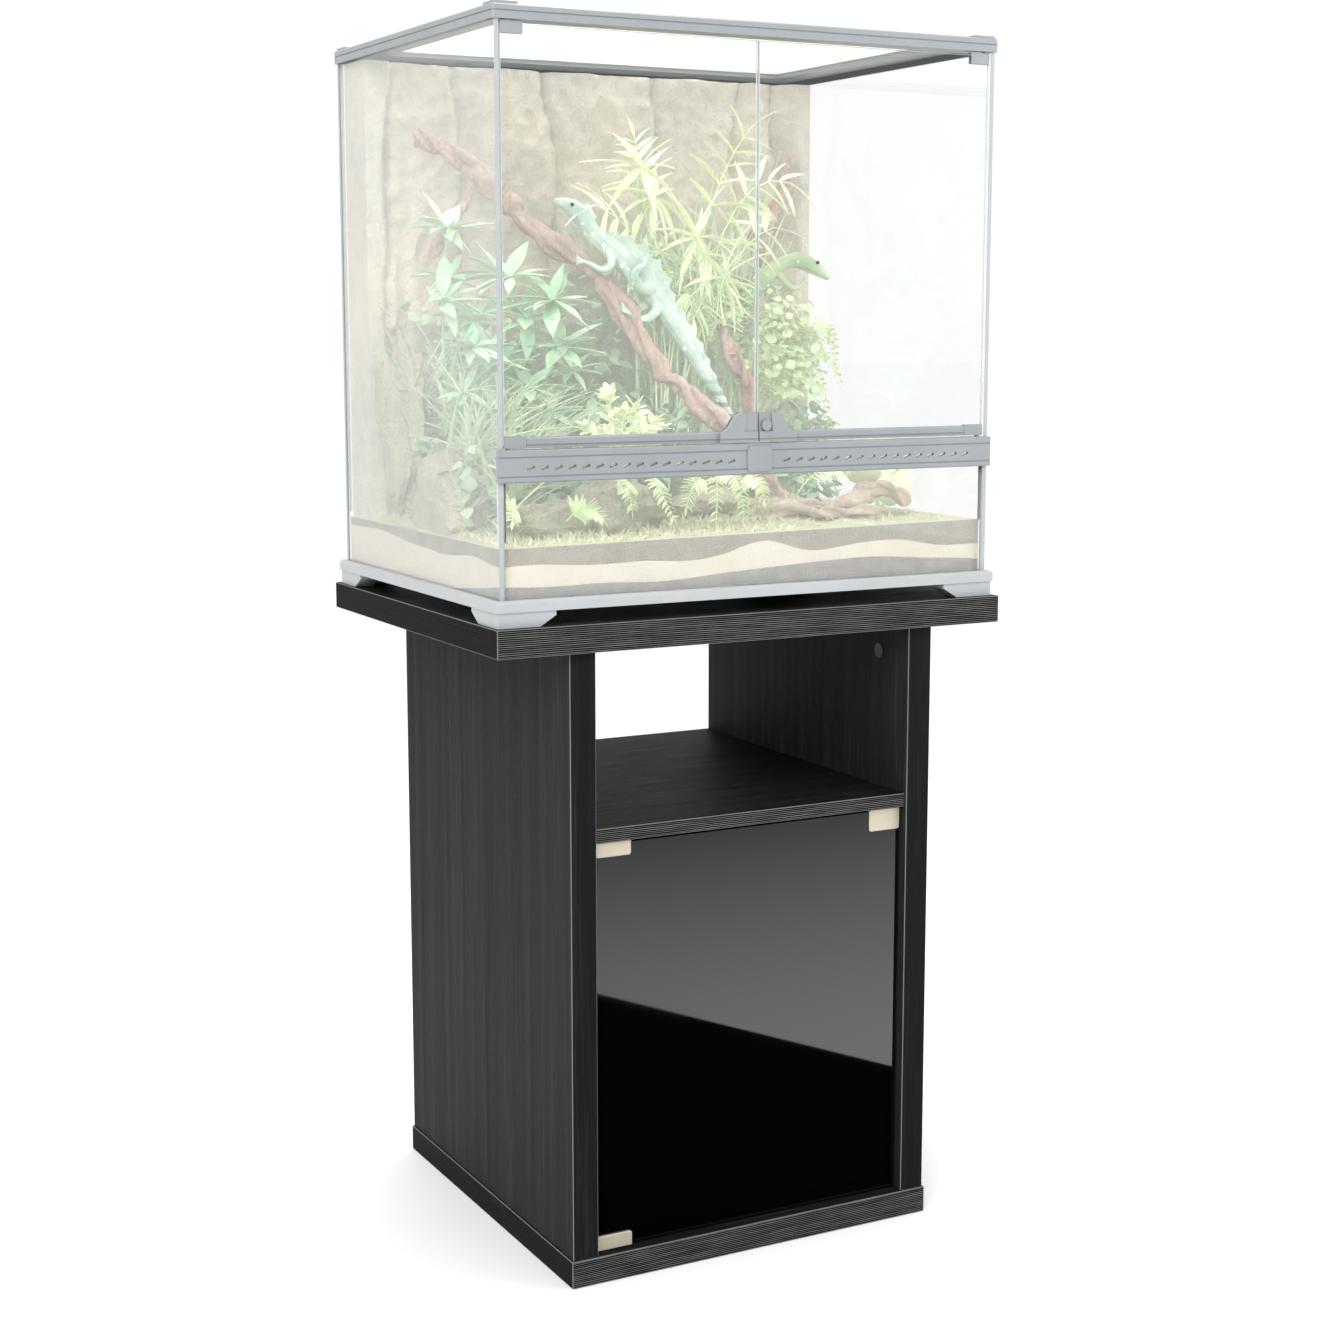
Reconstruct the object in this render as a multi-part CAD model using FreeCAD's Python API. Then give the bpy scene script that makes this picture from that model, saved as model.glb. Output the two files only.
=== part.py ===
"""Front-opening glass terrarium on a flat-pack cabinet stand.

Millimetres, +Z up, front towards -Y. The origin is on the floor, under the middle of the top panel.
Every physical piece is one node, written to parts/NODE.step.
"""

import FreeCAD
import Part
import math
import os

V = FreeCAD.Vector
X_DIR = V(1, 0, 0)
Y_DIR = V(0, 1, 0)
Z_DIR = V(0, 0, 1)

# ---- stand: driving dimensions -------------------------------------------------------------------
BOARD = 30.0  # thickness of the outer boards
EDGE_BREAK = 0.8  # chamfer on the visible board edges
TOP_W, TOP_D = 620.0, 480.0
STAND_H = 720.0
CARCASS_W = 450.0
CARCASS_FRONT, CARCASS_BACK = -230.0, 232.0
BASE_LIP = 2.0  # the bottom panel stands out this far round the carcass
SHELF_T = 15.0
SHELF_UNDER = 485.0
SHELF_SETBACK = 3.0
BACK_T = 4.0  # hardboard back of the lower compartment
BACK_LAP = 7.0  # how far it laps over the side panels

# ---- flat-pack fittings --------------------------------------------------------------------------
CAM_R, CAM_DEPTH = 7.5, 12.5
SHELF_CAM_R, SHELF_CAM_DEPTH = 6.0, 11.0
CAM_REACH = 34.0  # bolt length from the joint to the middle of the cam
SHELF_CAM_REACH = 24.0
CAM_INSET = 9.5  # bolt axis behind the inner face of a side panel
BOLT_R, BOLT_THREAD_R, BOLT_THREAD_L = 3.0, 2.5, 11.0
CAP_R, CAP_T = 8.5, 0.9
DOWEL_R, DOWEL_HALF = 4.0, 14.0
CAM_Y = (-170.0, 170.0)
SHELF_CAM_Y = (-140.0, 140.0)
DOWEL_Y = (-110.0, 110.0)
FIT = 0.05  # radial gap of a round piece in its hole

# ---- cabinet door --------------------------------------------------------------------------------
GLASS_DOOR_T = 5.0
GLASS_DOOR_Y = -216.5  # middle plane of the glass
GLASS_DOOR_X = 192.0  # half width
CLIP_GAP = 1.5  # clip to shelf and clip to bottom panel
CLIP_W, CLIP_H, CLIP_T = 42.0, 16.0, 10.0
CLIP_WALL = 2.0
PAD_T = (CLIP_T - GLASS_DOOR_T) / 2 - CLIP_WALL
PIVOT_X = -183.0
PIVOT_R, PIVOT_L = 3.0, 7.5
BUSH_R, BUSH_DEPTH = 5.0, 8.5
BUSH_FLANGE_R, BUSH_FLANGE_T = 7.0, 0.8
STRIKE_W, STRIKE_H, STRIKE_WALL = 40.0, 24.0, 1.2
LATCH_X = 172.0
LATCH_FRONT_Y, LATCH_BACK_Y = -205.0, -150.0
LATCH_W, LATCH_H = 14.0, 15.0
PLUNGER_R = 4.0
MAGNET_R, MAGNET_T = 4.8, 3.0
LATCH_TRAVEL = 4.0
LATCH_GAP = 0.3

# ---- terrarium: driving dimensions ---------------------------------------------------------------
TANK_W, TANK_D = 600.0, 450.0  # outside of the glass
TANK_H = 618.0  # stand top to the highest point of the top frame
PANE = 5.0
DOOR_PANE = 4.0
SEAL_GAP = 0.3
BASE_OUT = 8.0  # the base frame stands out this far round the glass
BASE_H = 28.0
FOOT_H = 16.0
FOOT_FLAT, FOOT_RUN = 48.0, 66.0  # length of a foot at the floor and at its root
FOOT_IN = 2.0
FOOT_STEP = 5.0
PANE_Z = STAND_H + 19.0
PANE_TOP = STAND_H + 610.0
TOP_OUT = 3.0
TOP_LOW = STAND_H + 601.0
TOP_TABS = 2.5
TOP_Z = STAND_H + TANK_H - TOP_TABS
RAIL_LOW, RAIL_HIGH = STAND_H + 147.0, STAND_H + 180.0
RAIL_FRONT, RAIL_BACK = -230.0, -214.0
RAIL_WALL = 4.0
SLOTS_PER_HALF = 16
SLOT_PITCH = 15.5
DOOR_PLANE = -221.5
DOOR_PIVOT_X = 288.0
DOOR_PIN_R, DOOR_PIN_L = 2.5, 5.0
DOOR_LOW = RAIL_HIGH + 1.5
DOOR_TOP = TOP_LOW - 1.5
DOOR_MIDDLE_GAP = 0.8  # half of the gap between the doors
STRIP_T, STRIP_H = 7.0, 11.0
BLOCK_L, BLOCK_H = 24.0, 12.0
HUMP_HALF, HUMP_FLAT, HUMP_H = 47.0, 18.0, 20.0
HUMP_FRONT = -229.0
GRIP_LOW_X, GRIP_HIGH_X, GRIP_DEPTH = 17.0, 15.0, 1.5  # recess in each half of the grip hump
LOCK_X, LOCK_Z = 8.5, RAIL_HIGH + 19.0
LOCK_R = 6.0
TONGUE_L, TONGUE_T = 26.0, 2.0
SCREEN_X = 270.0  # half width of the lid recess
SCREEN_FRONT, SCREEN_BACK = -200.0, 185.0
SCREEN_T = 5.0
SCREEN_BAR = 14.0
GATE_X, GATE_Y = 150.0, 204.0
GATE_HOLE_X, GATE_HOLE_Y = 20.0, 12.0
GATE_TRAVEL = 22.0

# ---- decor ---------------------------------------------------------------------------------------
GRAVEL_TOP = STAND_H + 44.0
SAND_TOP = STAND_H + 66.0
SOIL_TOP = STAND_H + 86.0
ROCK_T = 34.0
INNER_X = TANK_W / 2 - PANE - 1.0
INNER_FRONT = -TANK_D / 2 + PANE + 0.6
INNER_BACK = TANK_D / 2 - PANE - 0.6


def block(x0, x1, y0, y1, z0, z1):
    """A box between two corners."""
    return Part.makeBox(x1 - x0, y1 - y0, z1 - z0, V(x0, y0, z0))


def rod(radius, start, end):
    """A round bar between two points."""
    run = V(*end) - V(*start)
    return Part.makeCylinder(radius, run.Length, V(*start), run)


def group(solids):
    """Separate solids that share one node."""
    return Part.makeCompound(solids)


def cut_all(shape, tools):
    """The shape with every tool removed."""
    for tool in tools:
        shape = shape.cut(tool)
    return shape


def prism(points, along):
    """A flat outline pushed along a vector."""
    outline = Part.makePolygon([V(*p) for p in points] + [V(*points[0])])
    return Part.Face(outline).extrude(V(*along))


def mirrored_x(shape):
    """The shape seen in the plane x = 0."""
    return shape.mirror(V(0, 0, 0), X_DIR)


def save(name, shape):
    """Write one node, after checking that it is sound."""
    if not shape.isValid():
        raise ValueError(name + " is not valid")
    if shape.ShapeType == "Compound" and len(shape.Solids) == 1:
        shape = shape.Solids[0]
    shape.exportStep("parts/" + name + ".step")
    print(name, len(shape.Solids), round(shape.Volume / 1000.0, 2), "cm3")


def board(x0, x1, y0, y1, z0, z1):
    """A board whose long arrises are broken by a small chamfer."""
    raw = block(x0, x1, y0, y1, z0, z1)
    return raw.makeChamfer(EDGE_BREAK, raw.Edges)


# ---- stand ---------------------------------------------------------------------------------------
HALF = CARCASS_W / 2
INNER = HALF - BOARD
SIDE_LOW, SIDE_HIGH = BOARD, STAND_H - BOARD
SHELF_TOP = SHELF_UNDER + SHELF_T
SHELF_MID = SHELF_UNDER + SHELF_T / 2
BACK_FRONT_Y = CARCASS_BACK - BACK_T
JOINT_X = INNER + CAM_INSET
DOWEL_X = HALF - BOARD / 2


def upright_bolts():
    """Axis points (x, y, joint height, way into the side panel) of the bolts in the side panels."""
    spots = []
    for side in (-1, 1):
        for y in CAM_Y:
            spots.append((side * JOINT_X, y, SIDE_LOW, 1))
            spots.append((side * JOINT_X, y, SIDE_HIGH, -1))
    return spots


def bolt(start, direction, radius_extra, reach):
    """One cam bolt: a thread behind the joint face and a shank in front of it."""
    axis = V(*direction)
    thread = Part.makeCylinder(BOLT_THREAD_R + radius_extra, BOLT_THREAD_L, V(*start), axis * -1)
    shank = Part.makeCylinder(BOLT_R + radius_extra, reach, V(*start), axis)
    return thread.fuse(shank)


def all_bolts(radius_extra=0.0):
    """Every cam bolt of the stand."""
    bolts = []
    for x, y, z, way in upright_bolts():
        bolts.append(bolt((x, y, z), (0, 0, way), radius_extra, CAM_REACH))
    for side in (-1, 1):
        for y in SHELF_CAM_Y:
            start = (side * INNER, y, SHELF_MID)
            bolts.append(bolt(start, (-side, 0, 0), radius_extra, SHELF_CAM_REACH))
    return bolts


def all_cams(radius_extra=0.0):
    """Every cam disc, lying in the inner face of a side panel or the underside of the shelf."""
    cams = []
    for x, y, z, way in upright_bolts():
        side = math.copysign(1, x)
        middle = z + way * CAM_REACH
        start = V(side * INNER, y, middle)
        cams.append(Part.makeCylinder(CAM_R + radius_extra, CAM_DEPTH, start, V(side, 0, 0)))
    for side in (-1, 1):
        for y in SHELF_CAM_Y:
            start = V(side * (INNER - SHELF_CAM_REACH), y, SHELF_UNDER)
            cams.append(Part.makeCylinder(SHELF_CAM_R + radius_extra, SHELF_CAM_DEPTH, start, Z_DIR))
    return cams


def cam_caps():
    """Thin caps over the cams of the side panels."""
    caps = []
    for x, y, z, way in upright_bolts():
        side = math.copysign(1, x)
        start = V(side * INNER, y, z + way * CAM_REACH)
        caps.append(Part.makeCylinder(CAP_R, CAP_T, start, V(-side, 0, 0)))
    return caps


def all_dowels(radius_extra=0.0):
    """Wood dowels across every board joint."""
    radius = DOWEL_R + radius_extra
    dowels = []
    for side in (-1, 1):
        for y in DOWEL_Y:
            for z in (SIDE_LOW, SIDE_HIGH):
                low = (side * DOWEL_X, y, z - DOWEL_HALF)
                high = (side * DOWEL_X, y, z + DOWEL_HALF)
                dowels.append(rod(radius, low, high))
        start = (side * (INNER - DOWEL_HALF), 0, SHELF_MID)
        end = (side * (INNER + DOWEL_HALF), 0, SHELF_MID)
        dowels.append(rod(radius, start, end))
    return dowels


def back_screw_spots():
    """Where the screws go through the lower back panel."""
    spots = [(x, SHELF_MID) for x in (-120.0, 0.0, 120.0)]
    for x in (-INNER - BACK_LAP / 2, INNER + BACK_LAP / 2):
        spots += [(x, z) for z in (70.0, 210.0, 350.0, 470.0)]
    return spots


def back_screws(extra=0.0):
    """Small pan-head screws that hold the lower back panel."""
    screws = []
    for x, z in back_screw_spots():
        shank = rod(1.6 + extra, (x, CARCASS_BACK, z), (x, CARCASS_BACK - 16, z))
        head = rod(3.2 + extra, (x, CARCASS_BACK, z), (x, CARCASS_BACK + 1.6, z))
        screws.append(shank.fuse(head))
    return screws


def bushes(extra=0.0, bored=True):
    """Flanged bushes for the door pivots, in the shelf and in the bottom panel."""
    made = []
    for face, way in ((SHELF_UNDER, 1), (BOARD, -1)):
        seat = V(PIVOT_X, GLASS_DOOR_Y, face)
        barrel = Part.makeCylinder(BUSH_R + extra, BUSH_DEPTH, seat, Z_DIR * way)
        flange = Part.makeCylinder(BUSH_FLANGE_R, BUSH_FLANGE_T, seat, Z_DIR * -way)
        bush = barrel.fuse(flange)
        if bored:
            below = seat - Z_DIR * way * BUSH_FLANGE_T
            hole = Part.makeCylinder(PIVOT_R + FIT, BUSH_DEPTH + BUSH_FLANGE_T - 1, below, Z_DIR * way)
            bush = bush.cut(hole)
        made.append(bush)
    return made


def fitting_holes():
    """Everything that is drilled out of the boards."""
    return all_bolts(FIT) + all_cams(FIT) + all_dowels() + back_screws() + bushes(0.0, False)


def make_boards(holes):
    """The six boards of the carcass."""
    top = board(-TOP_W / 2, TOP_W / 2, -TOP_D / 2, TOP_D / 2, SIDE_HIGH, STAND_H)
    save("top_panel", cut_all(top, holes))
    base = board(-HALF - BASE_LIP, HALF + BASE_LIP, CARCASS_FRONT - BASE_LIP,
                 CARCASS_BACK + BASE_LIP, 0, BOARD)
    save("bottom_panel", cut_all(base, holes))
    rebate = block(-INNER - BACK_LAP, INNER + BACK_LAP, BACK_FRONT_Y, CARCASS_BACK, BOARD, SHELF_TOP)
    right = board(INNER, HALF, CARCASS_FRONT, CARCASS_BACK, SIDE_LOW, SIDE_HIGH).cut(rebate)
    left = board(-HALF, -INNER, CARCASS_FRONT, CARCASS_BACK, SIDE_LOW, SIDE_HIGH).cut(rebate)
    save("side_panel_right", cut_all(right, holes))
    save("side_panel_left", cut_all(left, holes))
    shelf = board(-INNER, INNER, CARCASS_FRONT + SHELF_SETBACK, BACK_FRONT_Y, SHELF_UNDER, SHELF_TOP)
    save("middle_shelf", cut_all(shelf, holes))
    save("lower_back_panel", rebate.cut(group(back_screws())))


def make_fittings():
    """Cam bolts, cams, caps, dowels, screws and bushes."""
    bolts = all_bolts()
    save("cam_bolts", group(bolts))
    slots = all_bolts(FIT)
    cams = [cam.cut(slot) for cam, slot in zip(all_cams(), slots)]
    save("cam_discs", group(cams))
    save("cam_cover_caps", group(cam_caps()))
    save("wood_dowels", group(all_dowels()))
    save("back_panel_screws", group(back_screws()))
    save("door_pivot_bushes", group(bushes()))


# ---- cabinet door --------------------------------------------------------------------------------
DOOR_LOW_EDGE = BOARD + CLIP_GAP + CLIP_WALL
DOOR_HIGH_EDGE = SHELF_UNDER - CLIP_GAP - CLIP_WALL


def hinge_clip(edge, way):
    """A U-shaped clip on the glass; way is +1 on the upper edge and -1 on the lower one."""
    outside = edge + way * CLIP_WALL
    inside = outside - way * CLIP_H
    low, high = min(outside, inside), max(outside, inside)
    x0 = -GLASS_DOOR_X
    body = block(x0, x0 + CLIP_W, GLASS_DOOR_Y - CLIP_T / 2, GLASS_DOOR_Y + CLIP_T / 2, low, high)
    corners = [e for e in body.Edges if abs(e.CenterOfMass.z - inside) < 0.01
               and abs(e.tangentAt(e.FirstParameter).y) > 0.9]
    body = body.makeFillet(3.0, corners)
    front_edges = [e for e in body.Edges if abs(e.CenterOfMass.y - GLASS_DOOR_Y + CLIP_T / 2) < 0.01]
    body = body.makeChamfer(0.5, front_edges)
    half = GLASS_DOOR_T / 2 + PAD_T
    slot_low, slot_high = (low - 1, edge) if way > 0 else (edge, high + 1)
    slot = block(x0 - 1, x0 + CLIP_W + 1, GLASS_DOOR_Y - half, GLASS_DOOR_Y + half, slot_low, slot_high)
    return body.cut(slot)


def clip_pads(edge, way):
    """Two thin pads between a clip and the glass."""
    x0 = -GLASS_DOOR_X + 2
    outer = edge - way * 0.5
    inner = edge - way * (CLIP_H - CLIP_WALL - 1.5)
    pads = []
    for side in (-1, 1):
        near = GLASS_DOOR_Y + side * GLASS_DOOR_T / 2
        far = near + side * PAD_T
        pads.append(block(x0, x0 + CLIP_W - 4, min(near, far), max(near, far),
                          min(outer, inner), max(outer, inner)))
    return pads


def clip_screws(extra=0.0):
    """Grub screws through the back walls of the clips."""
    screws = []
    back = GLASS_DOOR_Y + CLIP_T / 2
    for z in (DOOR_HIGH_EDGE - 7, DOOR_LOW_EDGE + 7):
        for x in (-GLASS_DOOR_X + 12, -GLASS_DOOR_X + 30):
            screw = rod(2.2 + extra, (x, back + 0.8, z), (x, back - CLIP_WALL, z))
            socket = rod(1.0, (x, back + 0.8, z), (x, back - 0.6, z))
            screws.append(screw if extra else screw.cut(socket))
    return screws


def make_cabinet_door():
    """The smoked glass door with its clips, pins and strike."""
    glass = block(-GLASS_DOOR_X, GLASS_DOOR_X, GLASS_DOOR_Y - GLASS_DOOR_T / 2,
                  GLASS_DOOR_Y + GLASS_DOOR_T / 2, DOOR_LOW_EDGE, DOOR_HIGH_EDGE)
    save("cabinet_door_glass", glass.makeChamfer(0.5, glass.Edges))
    holes = clip_screws(0.01)
    pins = []
    for name, edge, way in (("hinge_clip_top", DOOR_HIGH_EDGE, 1), ("hinge_clip_bottom", DOOR_LOW_EDGE, -1)):
        save(name, cut_all(hinge_clip(edge, way), holes))
        face = edge + way * CLIP_WALL
        pins.append(rod(PIVOT_R, (PIVOT_X, GLASS_DOOR_Y, face), (PIVOT_X, GLASS_DOOR_Y, face + way * PIVOT_L)))
    save("hinge_pivot_pins", group(pins))
    save("hinge_clip_pads", group(clip_pads(DOOR_HIGH_EDGE, 1) + clip_pads(DOOR_LOW_EDGE, -1)))
    save("hinge_clip_screws", group(clip_screws()))
    x1 = GLASS_DOOR_X
    half = GLASS_DOOR_T / 2
    shell = block(x1 - STRIKE_W, x1, GLASS_DOOR_Y - half - STRIKE_WALL, GLASS_DOOR_Y + half + STRIKE_WALL,
                  DOOR_HIGH_EDGE + STRIKE_WALL - STRIKE_H, DOOR_HIGH_EDGE + STRIKE_WALL)
    corners = [e for e in shell.Edges if abs(e.CenterOfMass.z - DOOR_HIGH_EDGE - STRIKE_WALL + STRIKE_H) < 0.01
               and abs(e.tangentAt(e.FirstParameter).y) > 0.9]
    shell = shell.makeFillet(2.5, corners)
    slot = block(x1 - STRIKE_W - 1, x1 + 1, GLASS_DOOR_Y - half, GLASS_DOOR_Y + half,
                 DOOR_HIGH_EDGE - 2 * STRIKE_H, DOOR_HIGH_EDGE)
    save("strike_clip", shell.cut(slot))


def make_latch():
    """A push latch under the shelf: housing, plunger, magnet and screws."""
    strike_back = GLASS_DOOR_Y + GLASS_DOOR_T / 2 + STRIKE_WALL
    axis_z = SHELF_UNDER - LATCH_H / 2 - 1.5
    low = SHELF_UNDER - LATCH_H - 1.5
    housing = block(LATCH_X - LATCH_W / 2, LATCH_X + LATCH_W / 2, LATCH_FRONT_Y, LATCH_BACK_Y,
                    low, SHELF_UNDER)
    edges = [e for e in housing.Edges if abs(e.CenterOfMass.z - low) < 0.01]
    housing = housing.makeFillet(2.0, edges)
    ear = block(LATCH_X - 17, LATCH_X + 17, -190, -165, SHELF_UNDER - 3, SHELF_UNDER)
    bore = rod(PLUNGER_R + FIT, (LATCH_X, LATCH_FRONT_Y, axis_z), (LATCH_X, LATCH_BACK_Y - 5, axis_z))
    housing = housing.fuse(ear).cut(bore)
    screws = []
    for x in (LATCH_X - 12, LATCH_X + 12):
        shank = rod(1.5, (x, -177.5, SHELF_UNDER - 3), (x, -177.5, SHELF_UNDER + 9))
        head = rod(3.0, (x, -177.5, SHELF_UNDER - 4.8), (x, -177.5, SHELF_UNDER - 3))
        screws.append(shank.fuse(head))
    save("latch_housing", cut_all(housing, screws))
    save("latch_screws", group(screws))
    tip = strike_back + LATCH_GAP
    plunger = rod(PLUNGER_R, (LATCH_X, tip + MAGNET_T, axis_z),
                  (LATCH_X, LATCH_BACK_Y - 5 - LATCH_TRAVEL - 1, axis_z))
    save("latch_plunger", plunger)
    save("latch_magnet", rod(MAGNET_R, (LATCH_X, tip, axis_z), (LATCH_X, tip + MAGNET_T, axis_z)))
    return screws


# ---- terrarium: base and glass -------------------------------------------------------------------
GLASS_X, GLASS_Y = TANK_W / 2, TANK_D / 2


def make_base_frame():
    """The moulded base: a band with a chamfered top, on four corner feet."""
    x, y = GLASS_X + BASE_OUT, GLASS_Y + BASE_OUT
    band_low, band_top = STAND_H + FOOT_H, STAND_H + BASE_H
    band = block(-x, x, -y, y, band_low, band_top)
    upright = [e for e in band.Edges if abs(e.tangentAt(e.FirstParameter).z) > 0.9]
    band = band.makeFillet(4.0, upright)
    rim = [e for e in band.Edges if abs(e.CenterOfMass.z - band_top) < 0.01]
    band = band.makeChamfer(3.0, rim)
    seat = block(-GLASS_X, GLASS_X, -GLASS_Y, GLASS_Y, PANE_Z, band_top)
    hole = block(-GLASS_X + 25, GLASS_X - 25, -GLASS_Y + 25, GLASS_Y - 25, band_low, PANE_Z)
    band = cut_all(band, [seat, hole])
    fx, fy = x - FOOT_IN, y - FOOT_IN
    feet = block(-fx, fx, -fy, fy, STAND_H, band_low)
    upright = [e for e in feet.Edges if abs(e.tangentAt(e.FirstParameter).z) > 0.9]
    feet = feet.makeFillet(3.0, upright)
    wall = 22.0
    feet = feet.cut(block(-fx + wall, fx - wall, -fy + wall, fy - wall, STAND_H, band_low))
    step = STAND_H + FOOT_H - FOOT_STEP
    for across, length in ((False, fx), (True, fy)):
        flat, root = length - FOOT_FLAT, length - FOOT_RUN
        outline = [(-flat, STAND_H), (flat, STAND_H), (root, step), (root, band_low),
                   (-root, band_low), (-root, step)]
        if across:
            arch = prism([(-2 * fx, a, z) for a, z in outline], (4 * fx, 0, 0))
        else:
            arch = prism([(a, -2 * fy, z) for a, z in outline], (0, 4 * fy, 0))
        feet = feet.cut(arch)
    save("base_frame", band.fuse(feet).removeSplitter())


def make_glass():
    """The fixed panes and their silicone seams."""
    clear_x = GLASS_X - PANE - SEAL_GAP
    clear_y = GLASS_Y - PANE - SEAL_GAP
    save("bottom_glass", block(-clear_x, clear_x, -clear_y, clear_y, PANE_Z, PANE_Z + PANE))
    save("back_glass", block(-GLASS_X, GLASS_X, GLASS_Y - PANE, GLASS_Y, PANE_Z, PANE_TOP))
    right = block(GLASS_X - PANE, GLASS_X, -GLASS_Y, GLASS_Y - PANE, PANE_Z, PANE_TOP)
    save("right_glass", right)
    save("left_glass", mirrored_x(right))
    front = block(-clear_x, clear_x, -GLASS_Y, -GLASS_Y + PANE, PANE_Z, RAIL_LOW)
    save("front_lower_glass", front)
    bead = 4.0
    beads = []
    for side in (-1, 1):
        corner_x, corner_y = side * (GLASS_X - PANE), GLASS_Y - PANE
        beads.append(prism([(corner_x, corner_y, SOIL_TOP), (corner_x - side * bead, corner_y, SOIL_TOP),
                            (corner_x, corner_y - bead, SOIL_TOP)], (0, 0, TOP_LOW - SOIL_TOP)))
        front_y = -GLASS_Y + PANE
        beads.append(prism([(corner_x, front_y, SOIL_TOP), (corner_x - side * bead, front_y, SOIL_TOP),
                            (corner_x, front_y + bead, SOIL_TOP)], (0, 0, RAIL_LOW - SOIL_TOP)))
    save("silicone_seams", group(beads))


# ---- terrarium: top frame and lid ----------------------------------------------------------------
LEDGE = 15.0
LEDGE_Z = TOP_Z - SCREEN_T
FRONT_BAR_BACK = SCREEN_FRONT


def gate_recess(side):
    """The recess that one cable gate slides in, cut into the rear of the top frame."""
    x0 = side * GATE_X - GATE_HOLE_X / 2 - 3
    return block(x0, x0 + GATE_HOLE_X + 6 + GATE_TRAVEL, GATE_Y - 10, GATE_Y + 10, TOP_Z - 2, TOP_Z)


def make_top_frame():
    """The moulded top frame with lid ledge, corner tabs, cable inlets and door pin holes."""
    x, y = GLASS_X + TOP_OUT, GLASS_Y + TOP_OUT
    frame = block(-x, x, -y, y, TOP_LOW, TOP_Z)
    upright = [e for e in frame.Edges if abs(e.tangentAt(e.FirstParameter).z) > 0.9]
    frame = frame.makeFillet(4.0, upright)
    rim = [e for e in frame.Edges if abs(e.CenterOfMass.z - TOP_Z) < 0.01]
    frame = frame.makeChamfer(1.5, rim)
    groove = block(-x - 1, x + 1, -y - 1, y + 1, TOP_LOW + 7, TOP_LOW + 8.5)
    core = block(-x + 1, x - 1, -y + 1, y - 1, TOP_LOW + 7, TOP_LOW + 8.5)
    frame = frame.cut(groove.cut(core))
    opening = block(-SCREEN_X + LEDGE, SCREEN_X - LEDGE, SCREEN_FRONT + LEDGE, SCREEN_BACK - LEDGE,
                    TOP_LOW, TOP_Z)
    recess = block(-SCREEN_X, SCREEN_X, SCREEN_FRONT, SCREEN_BACK, LEDGE_Z, TOP_Z)
    under = block(-GLASS_X + PANE + 0.2, GLASS_X - PANE - 0.2, FRONT_BAR_BACK, GLASS_Y - PANE - 0.2,
                  TOP_LOW, LEDGE_Z - 3)
    panes = block(-GLASS_X, GLASS_X, -GLASS_Y, GLASS_Y, TOP_LOW, PANE_TOP)
    bar = block(-GLASS_X + PANE + 0.2, GLASS_X - PANE - 0.2, -GLASS_Y, FRONT_BAR_BACK, TOP_LOW, PANE_TOP)
    flange = block(-GLASS_X + PANE + 0.2, GLASS_X - PANE - 0.2, FRONT_BAR_BACK, GLASS_Y - PANE - 0.2,
                   LEDGE_Z - 3, PANE_TOP)
    frame = frame.cut(panes).fuse([bar, flange]).removeSplitter()
    frame = cut_all(frame, [opening, recess, under])
    for side in (-1, 1):
        frame = frame.cut(gate_recess(side))
        hx = side * GATE_X
        frame = frame.cut(block(hx - GATE_HOLE_X / 2, hx + GATE_HOLE_X / 2, GATE_Y - GATE_HOLE_Y / 2,
                                GATE_Y + GATE_HOLE_Y / 2, TOP_LOW, TOP_Z))
        pin = rod(DOOR_PIN_R + FIT, (side * DOOR_PIVOT_X, DOOR_PLANE, TOP_LOW),
                  (side * DOOR_PIVOT_X, DOOR_PLANE, TOP_LOW + DOOR_PIN_L))
        frame = frame.cut(pin)
    for sx in (-1, 1):
        for sy in (-1, 1):
            ox, oy = sx * (x - 2), sy * (y - 2)
            ix, iy = sx * (x - 30), sy * (y - 30)
            tab = block(min(ox, ix), max(ox, ix), min(oy, iy), max(oy, iy), TOP_Z, TOP_Z + TOP_TABS)
            round_edges = [e for e in tab.Edges if abs(e.tangentAt(e.FirstParameter).z) > 0.9]
            tab = tab.makeFillet(4.0, round_edges)
            frame = frame.fuse(tab)
    save("top_frame", frame.removeSplitter())


def make_lid():
    """The mesh lid, its two locks and the two cable gates."""
    gap = 0.5
    x, front, back = SCREEN_X - gap, SCREEN_FRONT + gap, SCREEN_BACK - gap
    low = LEDGE_Z + LATCH_GAP
    frame = block(-x, x, front, back, low, TOP_Z)
    inner = block(-x + SCREEN_BAR, x - SCREEN_BAR, front + SCREEN_BAR, back - SCREEN_BAR, low, TOP_Z)
    mesh_groove = block(-x + SCREEN_BAR - 4, x - SCREEN_BAR + 4, front + SCREEN_BAR - 4,
                        back - SCREEN_BAR + 4, low + 1.5, low + 2.3)
    save("lid_frame", cut_all(frame, [inner, mesh_groove]))
    save("lid_mesh", mesh_groove)
    for name, side in (("lid_lock_left", -1), ("lid_lock_right", 1)):
        near, far = side * (SCREEN_X + 2), side * (SCREEN_X + 24)
        lock = block(min(near, far), max(near, far), -30, 0, TOP_Z + LATCH_GAP, TOP_Z + TOP_TABS)
        grip = rod(0.8, (side * (SCREEN_X + 13), -26, TOP_Z + TOP_TABS),
                   (side * (SCREEN_X + 13), -4, TOP_Z + TOP_TABS))
        save(name, lock.cut(grip))
    for name, side in (("cable_gate_left", -1), ("cable_gate_right", 1)):
        x0 = side * GATE_X - GATE_HOLE_X / 2 - 2.5
        gate = block(x0, x0 + GATE_HOLE_X + 5, GATE_Y - 9.7, GATE_Y + 9.7, TOP_Z - 1.7, TOP_Z)
        rib = block(x0 + 10, x0 + 13, GATE_Y - 7, GATE_Y + 7, TOP_Z, TOP_Z + 1.2)
        save(name, gate.fuse(rib))


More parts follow.
